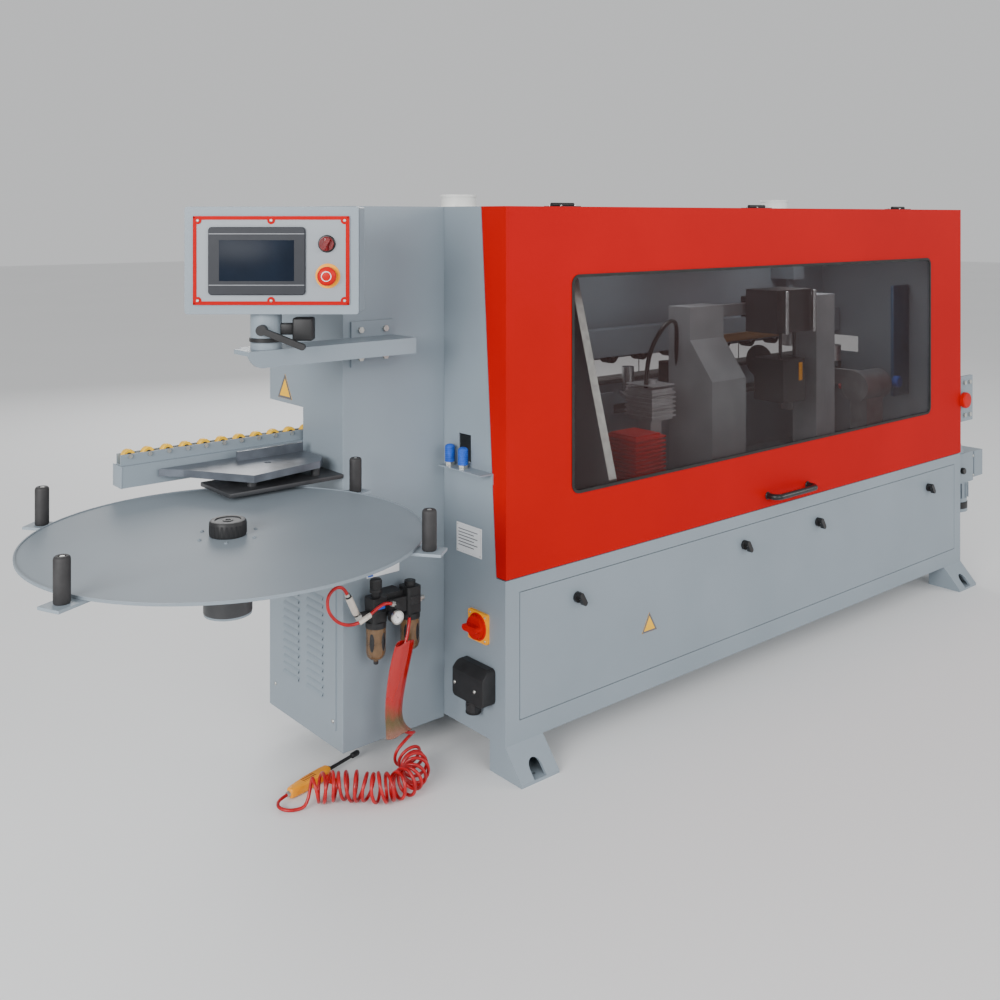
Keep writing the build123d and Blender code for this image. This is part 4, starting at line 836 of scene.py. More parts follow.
# infeed tower: pressed louvres, screws, labels
louvres = {
    "columns": 2,
    "rows": 13,
    "pitch": 0.020,
    "spacing": 0.118,
    "length": 0.078,
    "rise": 0.0048,
    "drop": 0.0085,
    "screwRadius": 0.0045,
    "stickerSide": 0.075,
    "stickerPlace": (0.231, 0.923),
    "labelSize": (0.098, 0.030, 0.0006),
    "labelPlace": (leftEnd - 0.193, 0.497),
    "bandSize": (0.016, 0.024, 0.0008),
    "bandPlace": (leftEnd - 0.231, 0.496),
}


def makeTowerDetails(settings):
    low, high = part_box("louvre_panel")
    face = facing((low.x, (low.y + high.y) / 2, (low.z + high.z) / 2), leftward)
    rise, drop, length = settings["rise"], settings["drop"], settings["length"]
    bm = bmesh.new()
    for column in range(settings["columns"]):
        for row in range(settings["rows"]):
            across = (column - (settings["columns"] - 1) / 2) * settings["spacing"]
            height = (row - (settings["rows"] - 1) / 2) * settings["pitch"]
            # the profile is drawn across the louvre and given its length sideways
            side = face @ Matrix.Translation((across - length / 2, height, 0)) @ placed((0, 0, 0), (0, 1, 0),
                (1, 0, 0))
            addPlate(bm, [
                (drop, 0), (drop * 0.7, rise * 0.45), (drop * 0.3, rise * 0.85), (-drop * 0.2, rise),
                (-drop * 0.24, rise * 0.84), (drop * 0.2, rise * 0.62), (drop * 0.55, 0),
            ], length, side)
    finishPiece(bm, "louvreHoods", "frame", "greyPowderCoat", sharp=50)
    bm = bmesh.new()
    for y in (low.y + 0.012, high.y - 0.012):
        for z in (low.z + 0.020, high.z - 0.020):
            addScrew(bm, facing((low.x, y, z), leftward), settings["screwRadius"])
    finishPiece(bm, "louvreScrews", "frame", "zincSteel")
    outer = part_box("infeed_tower")[0].x - 0.0001
    makeSticker("housingSticker", "frame", settings["stickerSide"], (outer, *settings["stickerPlace"]), leftward)
    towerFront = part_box("infeed_tower")[0].y
    bm = bmesh.new()
    x, z = settings["labelPlace"]
    addBox(bm, settings["labelSize"], facing((x, towerFront - 0.0002, z), frontward))
    finishPiece(bm, "towerLabel", "frame", "whiteLabel")
    bm = bmesh.new()
    x, z = settings["bandPlace"]
    addBox(bm, settings["bandSize"], facing((x, towerFront - 0.0003, z), frontward))
    finishPiece(bm, "towerLabelBand", "frame", "blueSinter")


makeTowerDetails(louvres)

# left end: blank rating plate, mains switch, inlet screws, silencers
endDetails = {
    "plateSize": (0.102, 0.075),
    "plateCentre": (-0.158, 0.556),
    "inletScrews": ((-0.152, 0.204), (-0.231, 0.204)),
    "silencerX": leftEnd - 0.022,
    "silencerY": (-0.160, -0.106),
}


def makeEndDetails(settings):
    y, z = settings["plateCentre"]
    width, height = settings["plateSize"]
    bm = bmesh.new()
    addBox(bm, (width, height, 0.0012), facing((leftEnd - 0.0006, y, z), leftward), rounding=0.0004, steps=1)
    finishPiece(bm, "ratingPlate", "frame", "whiteLabel")
    bm = bmesh.new()
    addFrame(bm, width * 0.92, height * 0.88, 0.0012, 0.0003, facing((leftEnd - 0.0012, y, z), leftward))
    for number in range(6):
        row = height * (0.30 - 0.11 * number)
        long = width * (0.62 if number % 2 else 0.76)
        addBox(bm, (long, 0.0022, 0.0003), facing((leftEnd - 0.0013, y + (width * 0.84 - long) / 2, z + row),
            leftward))
    finishPiece(bm, "ratingPlateBorder", "frame", "labelInk")
    bm = bmesh.new()
    for across in (-width / 2 + 0.005, width / 2 - 0.005):
        for rise in (-height / 2 + 0.005, height / 2 - 0.005):
            addScrew(bm, facing((leftEnd - 0.0012, y + across, z + rise), leftward), 0.002)
    low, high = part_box("mains_switch_plate")
    for y in (low.y + 0.008, high.y - 0.008):
        for z in (low.z + 0.008, high.z - 0.008):
            addScrew(bm, facing((low.x, y, z), leftward), 0.003)
    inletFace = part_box("power_inlet")[0].x
    for y, z in settings["inletScrews"]:
        addScrew(bm, facing((inletFace, y, z), leftward), 0.0045)
    finishPiece(bm, "endScrews", "frame", "zincSteel")
    bm = bmesh.new()
    centre = ((low.x), (low.y + high.y) / 2, (low.z + high.z) / 2)
    addTurned(bm, [(0.0295, 0), (0.0345, 0), (0.0345, 0.0012), (0.0325, 0.0022), (0.0295, 0.0022), (0.0295, 0)],
              facing(centre, leftward), steps=40)
    finishPiece(bm, "switchRing", "frame", "redPlastic")
    gland = upright(leftEnd - 0.0215, -0.202, 0)
    bm = bmesh.new()
    addTurned(bm, [(0.0125, 0.147), (0.0215, 0.147), (0.0215, 0.160), (0.0125, 0.160), (0.0125, 0.147)], gland,
        steps=6)
    for rise in (0.1385, 0.1415):
        addTurned(bm, [(0.0190, rise), (0.0203, rise + 0.0008), (0.0190, rise + 0.0016), (0.0190, rise)], gland,
            steps=28)
    finishPiece(bm, "inletGland", "frame", "blackPlastic", sharp=25)
    bm = bmesh.new()
    ribs = bmesh.new()
    for y in settings["silencerY"]:
        place = upright(settings["silencerX"], y, 0.742)
        addTurned(bm, disc(0.0125, 0, 0.009), place, steps=6)
        profile = [(0, 0.009), (0.0110, 0.009)]
        for number in range(8):
            rise = 0.0105 + number * 0.005
            profile += [(0.0130, rise), (0.0130, rise + 0.0028), (0.0118, rise + 0.0035)]
        profile += [(0.0105, 0.0515), (0.006, 0.0538), (0, 0.054)]
        addTurned(ribs, profile, place, steps=24)
    finishPiece(bm, "silencerNuts", "frame", "zincSteel", sharp=20)
    finishPiece(ribs, "silencerSleeves", "frame", "blueSinter", stands=["exhaust_silencers"])


makeEndDetails(endDetails)
print("tower and left end details made")

# control box
control = {
    "swivel": mm(leftEnd * 1000 - 552, frontFace * 1000 + 185, 1284),
    "normal": (-0.6468, -0.7627, 0),
    "shift": 0.023,
    "reach": 0.0525,
    "plate": (0.344, 0.195),
    "plateProud": 0.003,
    "borderBar": 0.0080,
    "screen": (0.165, 0.090),
    "screenPlace": (-0.031, 0.0),
    "hmi": (0.214, 0.150),
    "lineRises": (0.059, -0.054),
    "hmiProud": 0.007,
    "selectorPlace": (0.123, 0.037),
    "stopPlace": (0.125, -0.034),
    # size and setback of the dark ring that paints the shadow line under the control box lid rim
    "shadowRingSize": (0.3856, 0.2386),
    "shadowRingBack": -0.014,
    "screwInset": (0.010, 0.009),
    "bossRadius": 0.0085,
    "bossHeight": 0.0018,
    "faceScrew": 0.0034,
    "clampHeight": 1.128,
    "postRingHeight": 1.0995,
}
controlNormal = Vector(control["normal"]).normalized()
controlAcross = up.cross(controlNormal)
controlFace = placed(
    control["swivel"] + controlAcross * control["shift"] + controlNormal * control["reach"],
    controlAcross, controlNormal,
)


def onControl(x, y, z=0.0):
    return controlFace @ Matrix.Translation((x, y, z))


def makeControlDetails(settings):
    width, height = settings["plate"]
    proud = settings["plateProud"]
    bm = bmesh.new()
    addBox(bm, (width - 0.002, height - 0.002, 0.0008), onControl(0, 0, proud + 0.0002), rounding=0.0003, steps=1)
    finishPiece(bm, "controlOverlay", "control", "facePlate")
    bm = bmesh.new()
    addFrame(bm, width + 0.001, height + 0.001, settings["borderBar"], 0.0016, onControl(0, 0, proud),
        rounding=0.002)
    endX, endY = width / 2 - settings["screwInset"][0], height / 2 - settings["screwInset"][1]
    corners = [(x, y) for x in (-endX, 0, endX) for y in (-endY, endY)]
    boss, bossTop = settings["bossRadius"], settings["bossHeight"]
    for x, y in corners:
        addTurned(bm, disc(boss, 0, bossTop), onControl(x, y, proud), steps=24)
    finishPiece(bm, "controlBorder", "control", "redPowderCoat")
    bm = bmesh.new()
    for x, y in corners:
        addScrew(bm, onControl(x, y, proud + bossTop), settings["faceScrew"])
    finishPiece(bm, "controlScrews", "control", "zincSteel")
    x, y = settings["screenPlace"]
    glass = settings["screen"]
    top = settings["hmiProud"] + proud
    bm = bmesh.new()
    addBox(bm, (glass[0], glass[1], 0.0012), onControl(x, y, top + 0.0002), rounding=0.0005, steps=2)
    finishPiece(bm, "screenGlass", "control", "screenGlass")
    bm = bmesh.new()
    for rise in settings["lineRises"]:
        addBox(bm, (settings["hmi"][0] * 0.985, 0.0018, 0.0006), onControl(x, y + rise, top + 0.0001),
            rounding=0.0002, steps=1)
    finishPiece(bm, "screenLines", "control", "lightLine")
    x, y = settings["selectorPlace"]
    bm = bmesh.new()
    addTurned(bm, [(0.0165, 0), (0.0195, 0), (0.0195, 0.002), (0.0175, 0.0032), (0.0165, 0.0032), (0.0165, 0)],
              onControl(x, y, proud), steps=36)
    finishPiece(bm, "selectorRing", "control", "handleGloss")
    bm = bmesh.new()
    addBox(bm, (0.009, 0.030, 0.007), onControl(x, y, 0.0195), rounding=0.0022, steps=3)
    finishPiece(bm, "selectorRidge", "selector", "deepRedPlastic")
    x, y = settings["stopPlace"]
    bm = bmesh.new()
    addTurned(bm, [(0.0115, 0), (0.0275, 0), (0.0275, 0.0012), (0.0265, 0.0022), (0.0115, 0.0022), (0.0115, 0)],
              onControl(x, y, proud), steps=44)
    finishPiece(bm, "stopRing", "control", "yellowPlastic")
    bm = bmesh.new()
    addTurned(bm, [
        (0, 0.0107), (0.0105, 0.0107), (0.0105, 0.0130), (0.0185, 0.0136), (0.0208, 0.0155), (0.0212, 0.0185),
        (0.0200, 0.0225), (0.0165, 0.0252), (0.0100, 0.0266), (0, 0.0270),
    ], onControl(x, y), steps=40)
    finishPiece(bm, "stopMushroom", "stop", "redPlastic", stands=["stop_button"])
    # white ring on the mushroom's top: painted highlight standing for the glint on the glossy red dome
    bm = bmesh.new()
    addTurned(bm, [(0.0098, 0.0262), (0.0112, 0.0262), (0.0112, 0.0268), (0.0098, 0.0271), (0.0098, 0.0262)],
        onControl(x, y), steps=32)
    finishPiece(bm, "stopHighlightRing", "stop", "whiteLabel")
    # dark ring round the box, behind its front: painted shadow line under the lid rim, at the lid seam
    bm = bmesh.new()
    addFrame(bm, *settings["shadowRingSize"], 0.003, 0.0014, onControl(0, 0, settings["shadowRingBack"]))
    finishPiece(bm, "controlShadowRing", "control", "blackRubber")
    # clamp block and its neck beside the post
    swivel = settings["swivel"]
    block = placed(Vector((swivel.x, swivel.y, settings["clampHeight"])), controlAcross, controlNormal)
    bm = bmesh.new()
    addBox(bm, (0.046, 0.052, 0.040), block @ Matrix.Translation((0.085, 0, 0)), rounding=0.005, steps=3)
    addBox(bm, (0.030, 0.026, 0.020), block @ Matrix.Translation((0.048, 0, 0)), rounding=0.003, steps=2)
    finishPiece(bm, "clampBlock", "control", "blackPlastic", sharp=50)
    bm = bmesh.new()
    addTurned(bm, [(0.0355, 0.0), (0.0375, 0.001), (0.0375, 0.009), (0.0355, 0.010), (0.0355, 0.0)],
              upright(swivel.x, swivel.y, settings["postRingHeight"]), steps=40)
    finishPiece(bm, "postRing", "control", "blackPlastic")


makeControlDetails(control)
print("control box details made")

# air unit: bowls, gauge, regulator knob, lubricator cap, fittings
air = {
    "y": airY / 1000,
    "filterX": leftEnd - 0.246,
    "lubricatorX": leftEnd - 0.144,
    "bowlRadius": 0.0240,
    "gauge": (leftEnd - 0.218, -0.153, 0.408),
    "gaugeRadius": 0.016,
    "knobRibs": 20,
}


def makeAirUnit(settings):
    y = settings["y"]
    bowls, collars, windows = bmesh.new(), bmesh.new(), bmesh.new()
    radius = settings["bowlRadius"]
    for x in (settings["filterX"], settings["lubricatorX"]):
        stand = upright(x, y, 0)
        addTurned(bowls, [
            (0, 0.294), (0.006, 0.294), (0.007, 0.298), (0.0155, 0.301), (0.0215, 0.307), (radius, 0.318),
            (radius, 0.352), (radius + 0.0006, 0.382), (0, 0.384),
        ], stand, steps=40)
        addTurned(collars, [(0, 0.378), (radius + 0.0012, 0.378), (radius + 0.0016, 0.382),
            (radius + 0.0010, 0.392), (0, 0.392)],
                  stand, steps=40)
        addTurned(collars, [(0, 0.286), (0.0045, 0.286), (0.0062, 0.288), (0.0062, 0.295), (0, 0.297)], stand,
            steps=24)
        for turn in (-58, 18, 122):
            angle = math.radians(turn - 90)
            outward = Vector((math.cos(angle), math.sin(angle), 0))
            before = set(windows.verts)
            bmesh.ops.create_uvsphere(windows, u_segments=20, v_segments=12, radius=1)
            fresh = newVertsSince(windows, before)
            bmesh.ops.scale(windows, vec=(0.0062, 0.024, 0.0022), verts=fresh)
            centre = Vector((x, y, 0.346)) + outward * (radius - 0.0006)
            bmesh.ops.transform(windows, matrix=facing(centre, outward), verts=fresh)
    finishPiece(bowls, "airBowls", "frame", "amberBowl", stands=["air_bowls"])
    finishPiece(collars, "bowlCollars", "frame", "blackPlastic")
    finishPiece(windows, "bowlWindows", "frame", "handleGloss")
    # gauge
    front = facing(settings["gauge"], frontward)
    ring = settings["gaugeRadius"]
    bm = bmesh.new()
    addTurned(bm, [
        (ring - 0.0028, -0.004), (ring + 0.0006, -0.006), (ring + 0.0012, 0.000), (ring + 0.0004, 0.0022),
        (ring - 0.0016, 0.0026), (ring - 0.0028, 0.0006), (ring - 0.0028, -0.004),
    ], front, steps=44)
    finishPiece(bm, "gaugeRing", "frame", "zincSteel")
    bm = bmesh.new()
    addTurned(bm, disc(ring - 0.0026, -0.002, 0.0006), front, steps=36)
    finishPiece(bm, "gaugeFace", "frame", "dialFace")
    bm = bmesh.new()
    for number in range(11):
        turn = Matrix.Rotation(math.radians(135 - 27 * number), 4, "Z")
        addBox(bm, (0.0006, 0.0024, 0.0003), front @ turn @ Matrix.Translation((0, ring * 0.66, 0.0008)))
    pointer = Matrix.Rotation(math.radians(40), 4, "Z") @ Matrix.Translation((0, 0.0038, 0.0012))
    addBox(bm, (0.0008, 0.0105, 0.0004), front @ pointer)
    addTurned(bm, [(0, 0.0006), (0.0016, 0.0006), (0.0016, 0.0014), (0, 0.0016)], front, steps=16)
    finishPiece(bm, "gaugeMarks", "frame", "labelInk")
    # regulator knob with a ribbed grip
    stand = upright(settings["filterX"], y, 0)
    bm = bmesh.new()
    addTurned(bm, [
        (0, 0.4626), (0.0150, 0.4626), (0.0156, 0.4640), (0.0150, 0.4700), (0.0138, 0.4712), (0.0138, 0.4920),
        (0.0128, 0.4948), (0.0095, 0.4962), (0, 0.4962),
    ], stand, steps=40)
    for number in range(settings["knobRibs"]):
        turn = Matrix.Rotation(math.tau * number / settings["knobRibs"], 4, "Z")
        addBox(bm, (0.0024, 0.0022, 0.0205), stand @ turn @ Matrix.Translation((0.0138, 0, 0.4815)),
            rounding=0.0006, steps=1)
    finishPiece(bm, "regulatorGrip", "regulator", "blackPlastic", stands=["regulator_knob"])
    # block faces, lubricator cap, fittings
    bm = bmesh.new()
    addTurned(bm, [(0, 0.457), (0.0135, 0.457), (0.0135, 0.463), (0.0115, 0.4660), (0.0065, 0.4665),
        (0.006, 0.4700), (0, 0.4704)],
              upright(settings["lubricatorX"], y, 0), steps=32)
    for x, rise in ((settings["filterX"], 0.440), (settings["lubricatorX"], 0.437)):
        addBox(bm, (0.030, 0.0022, 0.022), facing((x, y - 0.021, rise - 0.012),
            frontward) @ Matrix.Rotation(math.radians(90), 4, "X"),
               rounding=0.0006, steps=1)
    finishPiece(bm, "airCovers", "frame", "handleGloss")
    bm = bmesh.new()
    addBox(bm, (0.020, 0.012, 0.0010), facing((settings["filterX"] + 0.002, y - 0.0222, 0.432), frontward))
    finishPiece(bm, "airLabel", "frame", "blueSinter")
    bm = bmesh.new()
    toRight = placed((settings["lubricatorX"] + 0.021, y, 0.418), up, rightward)
    addTurned(bm, disc(0.0100, 0, 0.009), toRight, steps=6)
    addTurned(bm, [(0, 0.009), (0.0065, 0.009), (0.0065, 0.020), (0.0050, 0.022), (0, 0.022)], toRight, steps=24)
    toLeft = placed((settings["filterX"] - 0.021, y, 0.414), up, leftward)
    addTurned(bm, disc(0.0105, 0.026, 0.034), toLeft, steps=6)
    for start, after in ((loopRoute[0], loopRoute[1]), (loopRoute[-1], loopRoute[-2])):
        ahead = (after - start).normalized()
        nut = placed(start - ahead * 0.004, ahead.orthogonal(), ahead)
        addTurned(bm, [(0.0041, 0), (0.0068, 0), (0.0068, 0.011), (0.0041, 0.011), (0.0041, 0)], nut, steps=6)
    finishPiece(bm, "airFittings", "frame", "zincSteel", sharp=20)
    bm = bmesh.new()
    start = loopRoute[3].lerp(loopRoute[4], 0.3)
    ahead = (loopRoute[4] - loopRoute[3]).normalized()
    addTurned(bm, [(0.0042, -0.016), (0.0062, -0.016), (0.0066, -0.010), (0.0066, 0.014), (0.0056, 0.017),
        (0.0042, 0.017),
                   (0.0042, -0.016)], placed(start, ahead.orthogonal(), ahead), steps=24)
    ahead = (loopRoute[-1] - loopRoute[-2]).normalized()
    addTurned(bm, [(0.0072, 0.004), (0.0082, 0.004), (0.0086, 0.008), (0.0086, 0.050), (0.0078, 0.055),
        (0.0072, 0.055), (0.0072, 0.004)],
              placed(loopRoute[-1], ahead.orthogonal(), ahead), steps=28)
    finishPiece(bm, "hoseSleeveClear", "frame", "clearFitting")


makeAirUnit(air)
print("air unit made")

# reel: foam posts, hub knob, hub stand
reel = {
    "centre": Vector((leftEnd - 0.729, frontFace + 0.016, 0)),
    "postTurns": (20.0, 127.6, 204.0, 307.6),
    "postRing": 0.425,
    "postRadius": 0.0145,
    "low": 0.7296,
    "high": 0.8096,
    "hubRadius": 0.037,
    "hubRibs": 24,
}


def makeReel(settings):
    centre = settings["centre"]
    radius, low, high = settings["postRadius"], settings["low"], settings["high"]
    grips, caps = bmesh.new(), bmesh.new()
    for turn in settings["postTurns"]:
        angle = math.radians(turn)
        stand = placed(centre + Vector((math.cos(angle), math.sin(angle), 0)) * settings["postRing"], rightward, up)
        addTurned(grips, [
            (0, low), (radius * 0.9, low), (radius, low + 0.003), (radius, high - 0.006), (radius * 0.93,
                high - 0.002),
            (radius * 0.78, high), (radius * 0.45, high), (radius * 0.42, high - 0.003), (0, high - 0.003),
        ], stand, steps=32)
        addTurned(caps, [(0, high - 0.0031), (radius * 0.36, high - 0.0031), (radius * 0.36, high - 0.0010),
            (radius * 0.25, high), (0, high)],
                  stand, steps=6)
    finishPiece(grips, "foamPosts", "frame", "blackGrip", stands=["grip_posts"])
    finishPiece(caps, "postScrews", "frame", "zincSteel", sharp=20)
    low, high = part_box("hub_knob")
    stand = upright(centre.x, centre.y, low.z)
    hub = settings["hubRadius"]
    tall = high.z - low.z
    bm = bmesh.new()
    addTurned(bm, [
        (0, 0.0002), (hub * 0.985, 0.0002), (hub, 0.0015), (hub, tall - 0.0035), (hub * 0.95,
            tall - 0.0005), (hub * 0.90, tall),
        (hub * 0.72, tall), (hub * 0.68, tall - 0.0018), (hub * 0.30, tall - 0.0018), (hub * 0.27, tall - 0.0004),
        (hub * 0.16, tall - 0.0004), (hub * 0.14, tall - 0.003), (0, tall - 0.003),
    ], stand, steps=64)
    for number in range(settings["hubRibs"]):
        turn = Matrix.Rotation(math.tau * number / settings["hubRibs"], 4, "Z")
        addBox(bm, (0.0012, 0.0050, tall - 0.010), stand @ turn @ Matrix.Translation((hub, 0, tall / 2 - 0.001)),
            rounding=0.0004, steps=1)
    finishPiece(bm, "hubGrip", "reel", "blackPlastic", stands=["hub_knob"])
    bm = bmesh.new()
    addTurned(bm, [(0.3970, 0.0), (0.4000, 0.0), (0.4004, 0.0012), (0.4000, 0.0024), (0.3970, 0.0024),
        (0.3970, 0.0)],
              upright(centre.x, centre.y, 0.7335), steps=96)
    for angle in (0, 60, 120, 180, 240, 300):
        turn = Matrix.Rotation(math.radians(angle), 4, "Z")
        addScrew(bm, upright(centre.x, centre.y, 0.734) @ turn @ Matrix.Translation((0.062, 0, 0)), 0.004)
    finishPiece(bm, "discRim", "reel", "discGrey")
    # turned stand under the disc
    bm = bmesh.new()
    addTurned(bm, [
        (0, 0.566), (0.020, 0.566), (0.022, 0.5745), (0.044, 0.5755), (0.0490, 0.580), (0.0492, 0.700), (0.0485,
            0.7165),
        (0.0302, 0.7170), (0.0302, 0.7225), (0, 0.7225),
    ], upright(centre.x, centre.y, 0), steps=48)
    finishPiece(bm, "hubStand", "frame", "blackSteel")


makeReel(reel)

# roller bar and support wheels
rollers = {
    "count": 15,
    "firstX": leftEnd - 0.759,
    "pitch": 0.047,
    "z": 0.825,
    "radius": 0.015,
    "capThick": 0.004,
    "carrierSize": (0.302, 0.152, 0.0106),
    "carrierCentre": (leftEnd - 0.461, frontFace + 0.320, 0.7475),
    "studCentre": (leftEnd - 0.450, frontFace + 0.330),
    "studSpread": (0.085, 0.045),
    "studRadius": 0.0112,
    "studLow": 0.752,
    "studHigh": 0.7728,
}


def makeRollers(settings):
    low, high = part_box("support_wheels")
    tyres, hubs = bmesh.new(), bmesh.new()
    radius = settings["radius"]
    wide = high.y - low.y
    for number in range(settings["count"]):
        x = settings["firstX"] + number * settings["pitch"]
        place = placed((x, low.y, settings["z"]), rightward, backward)
        addTurned(tyres, [
            (radius * 0.52, 0.0008), (radius * 0.86, 0.0002), (radius * 0.97, 0.0014), (radius, 0.004), (radius,
                wide - 0.004),
            (radius * 0.97, wide - 0.0014), (radius * 0.86, wide - 0.0002), (radius * 0.52,
                wide - 0.0008), (radius * 0.52, 0.0008),
        ], place, steps=32)
        addTurned(hubs, [(0, 0.0012), (radius * 0.53, 0.0012), (radius * 0.53, wide - 0.0012),
            (0, wide - 0.0012)], place, steps=24)
    finishPiece(tyres, "supportTyres", "frame", "wheelYellow", stands=["support_wheels"])
    finishPiece(hubs, "supportHubs", "frame", "blackPlastic")
    bm = bmesh.new()
    addBox(bm, settings["carrierSize"], upright(*settings["carrierCentre"]), rounding=0.002, steps=2)
    x, y = settings["studCentre"]
    acrossX, acrossY = settings["studSpread"]
    stud, studLow, studHigh = settings["studRadius"], settings["studLow"], settings["studHigh"]
    for dx in (-acrossX, acrossX):
        for dy in (-acrossY, acrossY):
            addTurned(bm, disc(stud, studLow, studHigh), upright(x + dx, y + dy, 0), steps=24)
    finishPiece(bm, "tableCarrier", "frame", "blackSteel")
    low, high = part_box("roller_bar")
    bm = bmesh.new()
    addBox(bm, (0.0515, 0.0515, settings["capThick"]),
           facing((low.x - 0.0018, low.y + 0.025, 0.780), leftward), rounding=0.0014, steps=2)
    finishPiece(bm, "barCap", "frame", "greyPowderCoat")


makeRollers(rollers)
print("reel and roller bar made")

# drive at the right end
drive = {
    "motorX": rightEnd + 0.070,
    "motorY": -0.226,
    "fanLow": 0.248,
    "redKnob": (rightEnd + 0.024, -0.290, 0.684),
    "redKnobRadius": 0.030,
    "blackKnob": (rightEnd + 0.029, -0.292, 0.412),
}


def makeDrive(settings):
    axis = upright(settings["motorX"], settings["motorY"], 0)
    low = settings["fanLow"]
    bm = bmesh.new()
    addTurned(bm, [(0, low), (0.040, low), (0.054, low + 0.003), (0.0603, low + 0.012), (0.0603, low + 0.036),
        (0.058, low + 0.037),
                   (0, low + 0.037)], axis, steps=48)
    finishPiece(bm, "fanCowl", "frame", "blackPlastic")
    bm = bmesh.new()
    place = facing(settings["redKnob"], frontward)
    radius = settings["redKnobRadius"]
    addTurned(bm, [(0, 0), (radius * 0.5, 0), (radius * 0.5, 0.010), (radius, 0.012), (radius, 0.024),
        (radius * 0.9, 0.028), (0, 0.030)],
              place, steps=40)
    finishPiece(bm, "driveKnob", "frame", "redPlastic")
    bm = bmesh.new()
    addTurned(bm, [(0, 0), (0.0125, 0), (0.0125, 0.010), (0.0105, 0.0125), (0, 0.0130)],
        facing(settings["blackKnob"], frontward), steps=28)
    finishPiece(bm, "oilPlug", "frame", "handleGloss")
    low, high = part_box("drive_gearbox")
    bm = bmesh.new()
    for y in (-0.274, -0.198):
        for z in (0.384, 0.454):
            addScrew(bm, placed((high.x, y, z), (0, 1, 0), rightward), 0.0038)
    for x in (rightEnd + 0.020, rightEnd + 0.137):
        for z in (0.378, 0.452):
            addScrew(bm, facing((x, -0.282, z), frontward), 0.0045)
    finishPiece(bm, "gearboxScrews", "frame", "zincSteel")


makeDrive(drive)

# what shows through the window
inside = {
    "guardFins": 15,
    "finPitch": 0.0125,
    "rodRadius": 0.008,
    "tankFins": 9,
    "tankPitch": 0.0105,
    "gluePipe": 0.007,
    "glueRoute": (
        mm(-360, -60, 850), mm(-370, -70, 930), mm(-350, -90, 1010), mm(-290, -90, 1060), mm(-220, -60, 1050),
        mm(-170, -20, 1000), mm(-150, 0, 930), mm(-140, 0, 870),
    ),
    "stripSize": (0.80, 0.006, 0.030),
    "stripCentre": (0.58, 0.196, 0.935),
    "cabinetSize": (0.115, 0.014, 0.430),
    "cabinetCentre": (1.068, -0.090, 0.900),
    "knobPlace": (1.020, -0.0972, 0.745),
}


def makeInside(settings):
    low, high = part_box("glue_guard")
    bm = bmesh.new()
    size = high - low
    for number in range(settings["guardFins"]):
        z = high.z - 0.010 - number * settings["finPitch"]
        addBox(bm, (size.x + 0.012, size.y + 0.012, 0.0065), upright((low.x + high.x) / 2, (low.y + high.y) / 2, z),
               rounding=0.0015, steps=1)
    finishPiece(bm, "guardFins", "frame", "redGuardCoat")
    low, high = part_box("glue_tank")
    bm = bmesh.new()
    for number in range(settings["tankFins"]):
        z = high.z - 0.012 - number * settings["tankPitch"]
        addBox(bm, (0.100, 0.112, 0.0035), upright(low.x + 0.054, low.y + 0.057, z), rounding=0.001, steps=1)
    finishPiece(bm, "tankFins", "frame", "castAluminium")
    bm = bmesh.new()
    addPipe(bm, settings["glueRoute"], settings["gluePipe"])
    finishPiece(bm, "glueHose", "frame", "blackHose", sharp=80)
    low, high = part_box("end_trim_saw")
    bm = bmesh.new()
    for x in (low.x + 0.030, high.x - 0.030):
        addTurned(bm, [(0, 0.984), (settings["rodRadius"], 0.984), (settings["rodRadius"], 1.128), (0, 1.130)],
                  upright(x, low.y - 0.012, 0), steps=24)
    finishPiece(bm, "sawRods", "saw", "groundSteel")
    bm = bmesh.new()
    addBox(bm, (0.018, 0.062, 0.004), facing((0.3400, -0.1365, 0.850), frontward), rounding=0.001, steps=1)
    finishPiece(bm, "sawBand", "saw", "yellowPlastic")
    bm = bmesh.new()
    addTurned(bm, [(0.030, 0.722), (0.047, 0.722), (0.047, 0.734), (0.030, 0.734), (0.030, 0.722)],
              upright(0.872, 0.0, 0), steps=40)
    finishPiece(bm, "buffMotorRing", "frame", "redPlastic")
    bm = bmesh.new()
    low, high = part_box("partition_wall")
    foot = Vector((low.x - 0.010, low.y, 0.660))
    head = Vector((low.x - 0.010, low.y + 0.178, high.z))
    for start, end in ((foot, head), (Vector((foot.x, foot.y, low.z + 0.004)), foot)):
        along = (end - start).normalized()
        addBox(bm, (0.030, 0.0025, (end - start).length), placed((start + end) / 2, rightward, along),
            rounding=0.0008, steps=1)
    finishPiece(bm, "partitionFlange", "frame", "zincSteel")
    bm = bmesh.new()
    addBox(bm, settings["stripSize"], upright(*settings["stripCentre"]), rounding=0.001, steps=1)
    finishPiece(bm, "beamStrip", "press", "brownBoard")
    bm = bmesh.new()
    addBox(bm, settings["cabinetSize"], upright(*settings["cabinetCentre"]), rounding=0.004, steps=2)
    finishPiece(bm, "controlCabinetInside", "frame", "blueEnamel")
    bm = bmesh.new()
    addTurned(bm, [(0, 0), (0.022, 0), (0.022, 0.018), (0.018, 0.022), (0, 0.023)],
        facing(settings["knobPlace"], frontward), steps=32)
    finishPiece(bm, "insideKnob", "frame", "blueSinter")


makeInside(inside)
print("inside details made")

# feed chain pads, pressure-wheel hubs, dust-port rims, rear seams
feed = {
    "padPitch": 0.040,
    "padLength": 0.0375,
    "chainY": 0.230,
    "wheelCount": 14,
    "wheelPitch": 0.150,
    "wheelZ": 0.920,
    "ports": ((leftEnd + 0.186, 0.123), (rightEnd - 0.541, 0.153)),
    "portScrewRing": 0.056,
    "portScrewHeight": 1.4102,
    "rearPanels": 4,
    "rearScrewSpread": 0.240,
    "rearScrewHeights": (0.520, 0.946, 1.370),
}


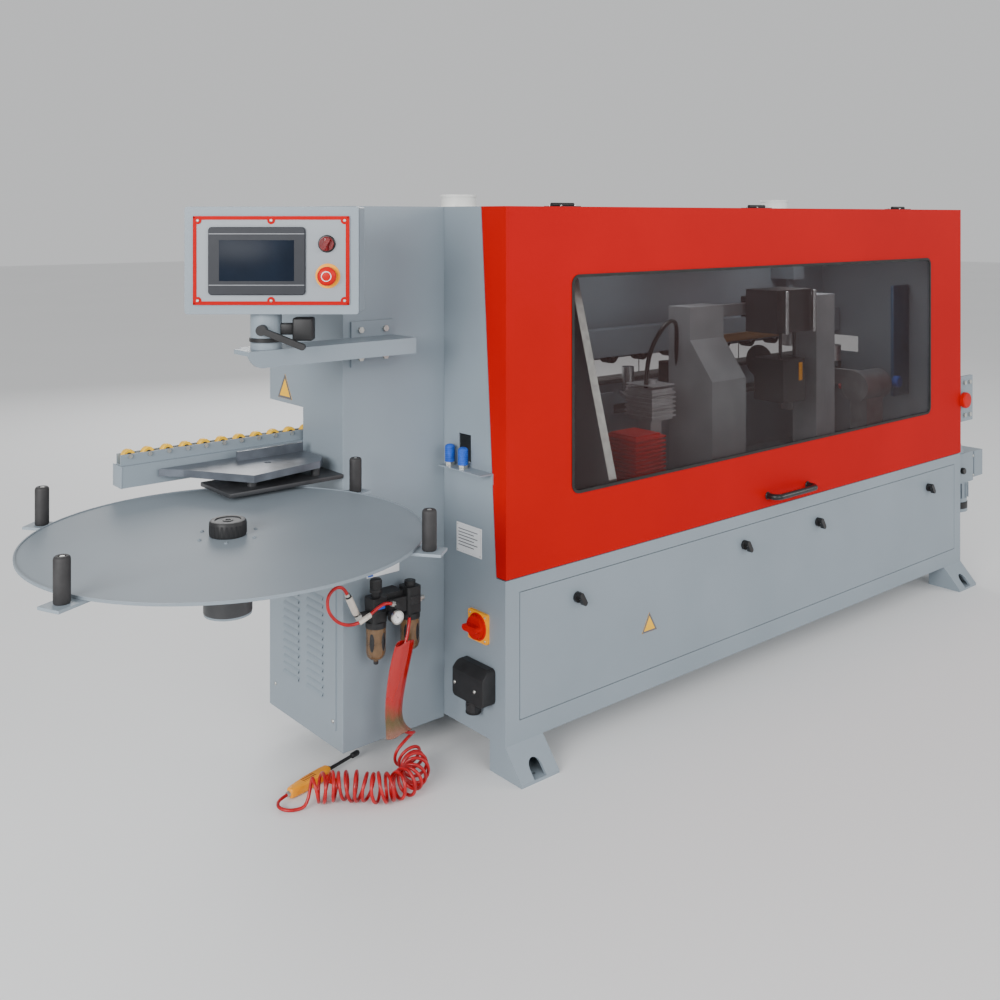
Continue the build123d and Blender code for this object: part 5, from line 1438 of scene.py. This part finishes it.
def makeFeed(settings):
    bm = bmesh.new()
    count = int(2.08 / settings["padPitch"])
    for number in range(count):
        x = (number - (count - 1) / 2) * settings["padPitch"]
        addBox(bm, (settings["padLength"], 0.078, 0.0024), upright(x, settings["chainY"], 0.8398),
            rounding=0.0008, steps=1)
    finishPiece(bm, "chainPads", "frame", "chainPads")
    bm = bmesh.new()
    for number in range(settings["wheelCount"]):
        x = (number - (settings["wheelCount"] - 1) / 2) * settings["wheelPitch"]
        for y, outward in ((0.2118, frontward), (0.2482, backward)):
            addTurned(bm, [(0, 0), (0.012, 0), (0.012, 0.002), (0.008, 0.005), (0, 0.005)],
                facing((x, y, settings["wheelZ"]), outward), steps=20)
    finishPiece(bm, "wheelHubs", "press", "zincSteel")
    bm = bmesh.new()
    for x, y in settings["ports"]:
        addTurned(bm, [(0.0470, 1.436), (0.0515, 1.436), (0.0522, 1.4395), (0.0515, 1.443), (0.0480, 1.4434),
            (0.0470, 1.442), (0.0470, 1.436)],
                  upright(x, y, 0), steps=64)
        for turn in (45, 135, 225, 315):
            angle = math.radians(turn)
            ring = settings["portScrewRing"]
            screwPlace = upright(x + ring * math.cos(angle), y + ring * math.sin(angle),
                settings["portScrewHeight"])
            addScrew(bm, screwPlace, 0.003)
    finishPiece(bm, "portRims", "frame", "portPlastic")
    seams, screws = bmesh.new(), bmesh.new()
    width = rightEnd - leftEnd
    panels, spread = settings["rearPanels"], settings["rearScrewSpread"]
    for number in range(panels + 1):
        x = leftEnd + width * number / panels
        inset = 0.006 if number in (0, panels) else 0
        x += inset if number == 0 else -inset
        addBox(seams, (0.0035, 0.0012, 0.900), upright(x, rearFace, 0.946))
    for number in range(panels):
        middle = leftEnd + width * (number + 0.5) / panels
        for dx in (-spread, spread):
            for z in settings["rearScrewHeights"]:
                addScrew(screws, placed((middle + dx, rearFace, z), (-1, 0, 0), backward), 0.005)
    finishPiece(seams, "rearSeams", "frame", "blackRubber")
    finishPiece(screws, "rearScrews", "frame", "zincSteel")


makeFeed(feed)
print("feed and rear details made")

# floor
floorMesh = bmesh.new()
bmesh.ops.create_grid(floorMesh, x_segments=1, y_segments=1, size=30)
floorData = bpy.data.meshes.new("studioFloor")
floorMesh.to_mesh(floorData)
floorMesh.free()
studioFloor = bpy.data.objects.new("studioFloor", floorData)
floorData.materials.append(makeFinish("floorPaint", dict(
    colour=(0.80, 0.80, 0.80), cloud=0.6, grain=60, rough=0.6, bump=0.02, spread=0.01)))
bpy.context.scene.collection.objects.link(studioFloor)
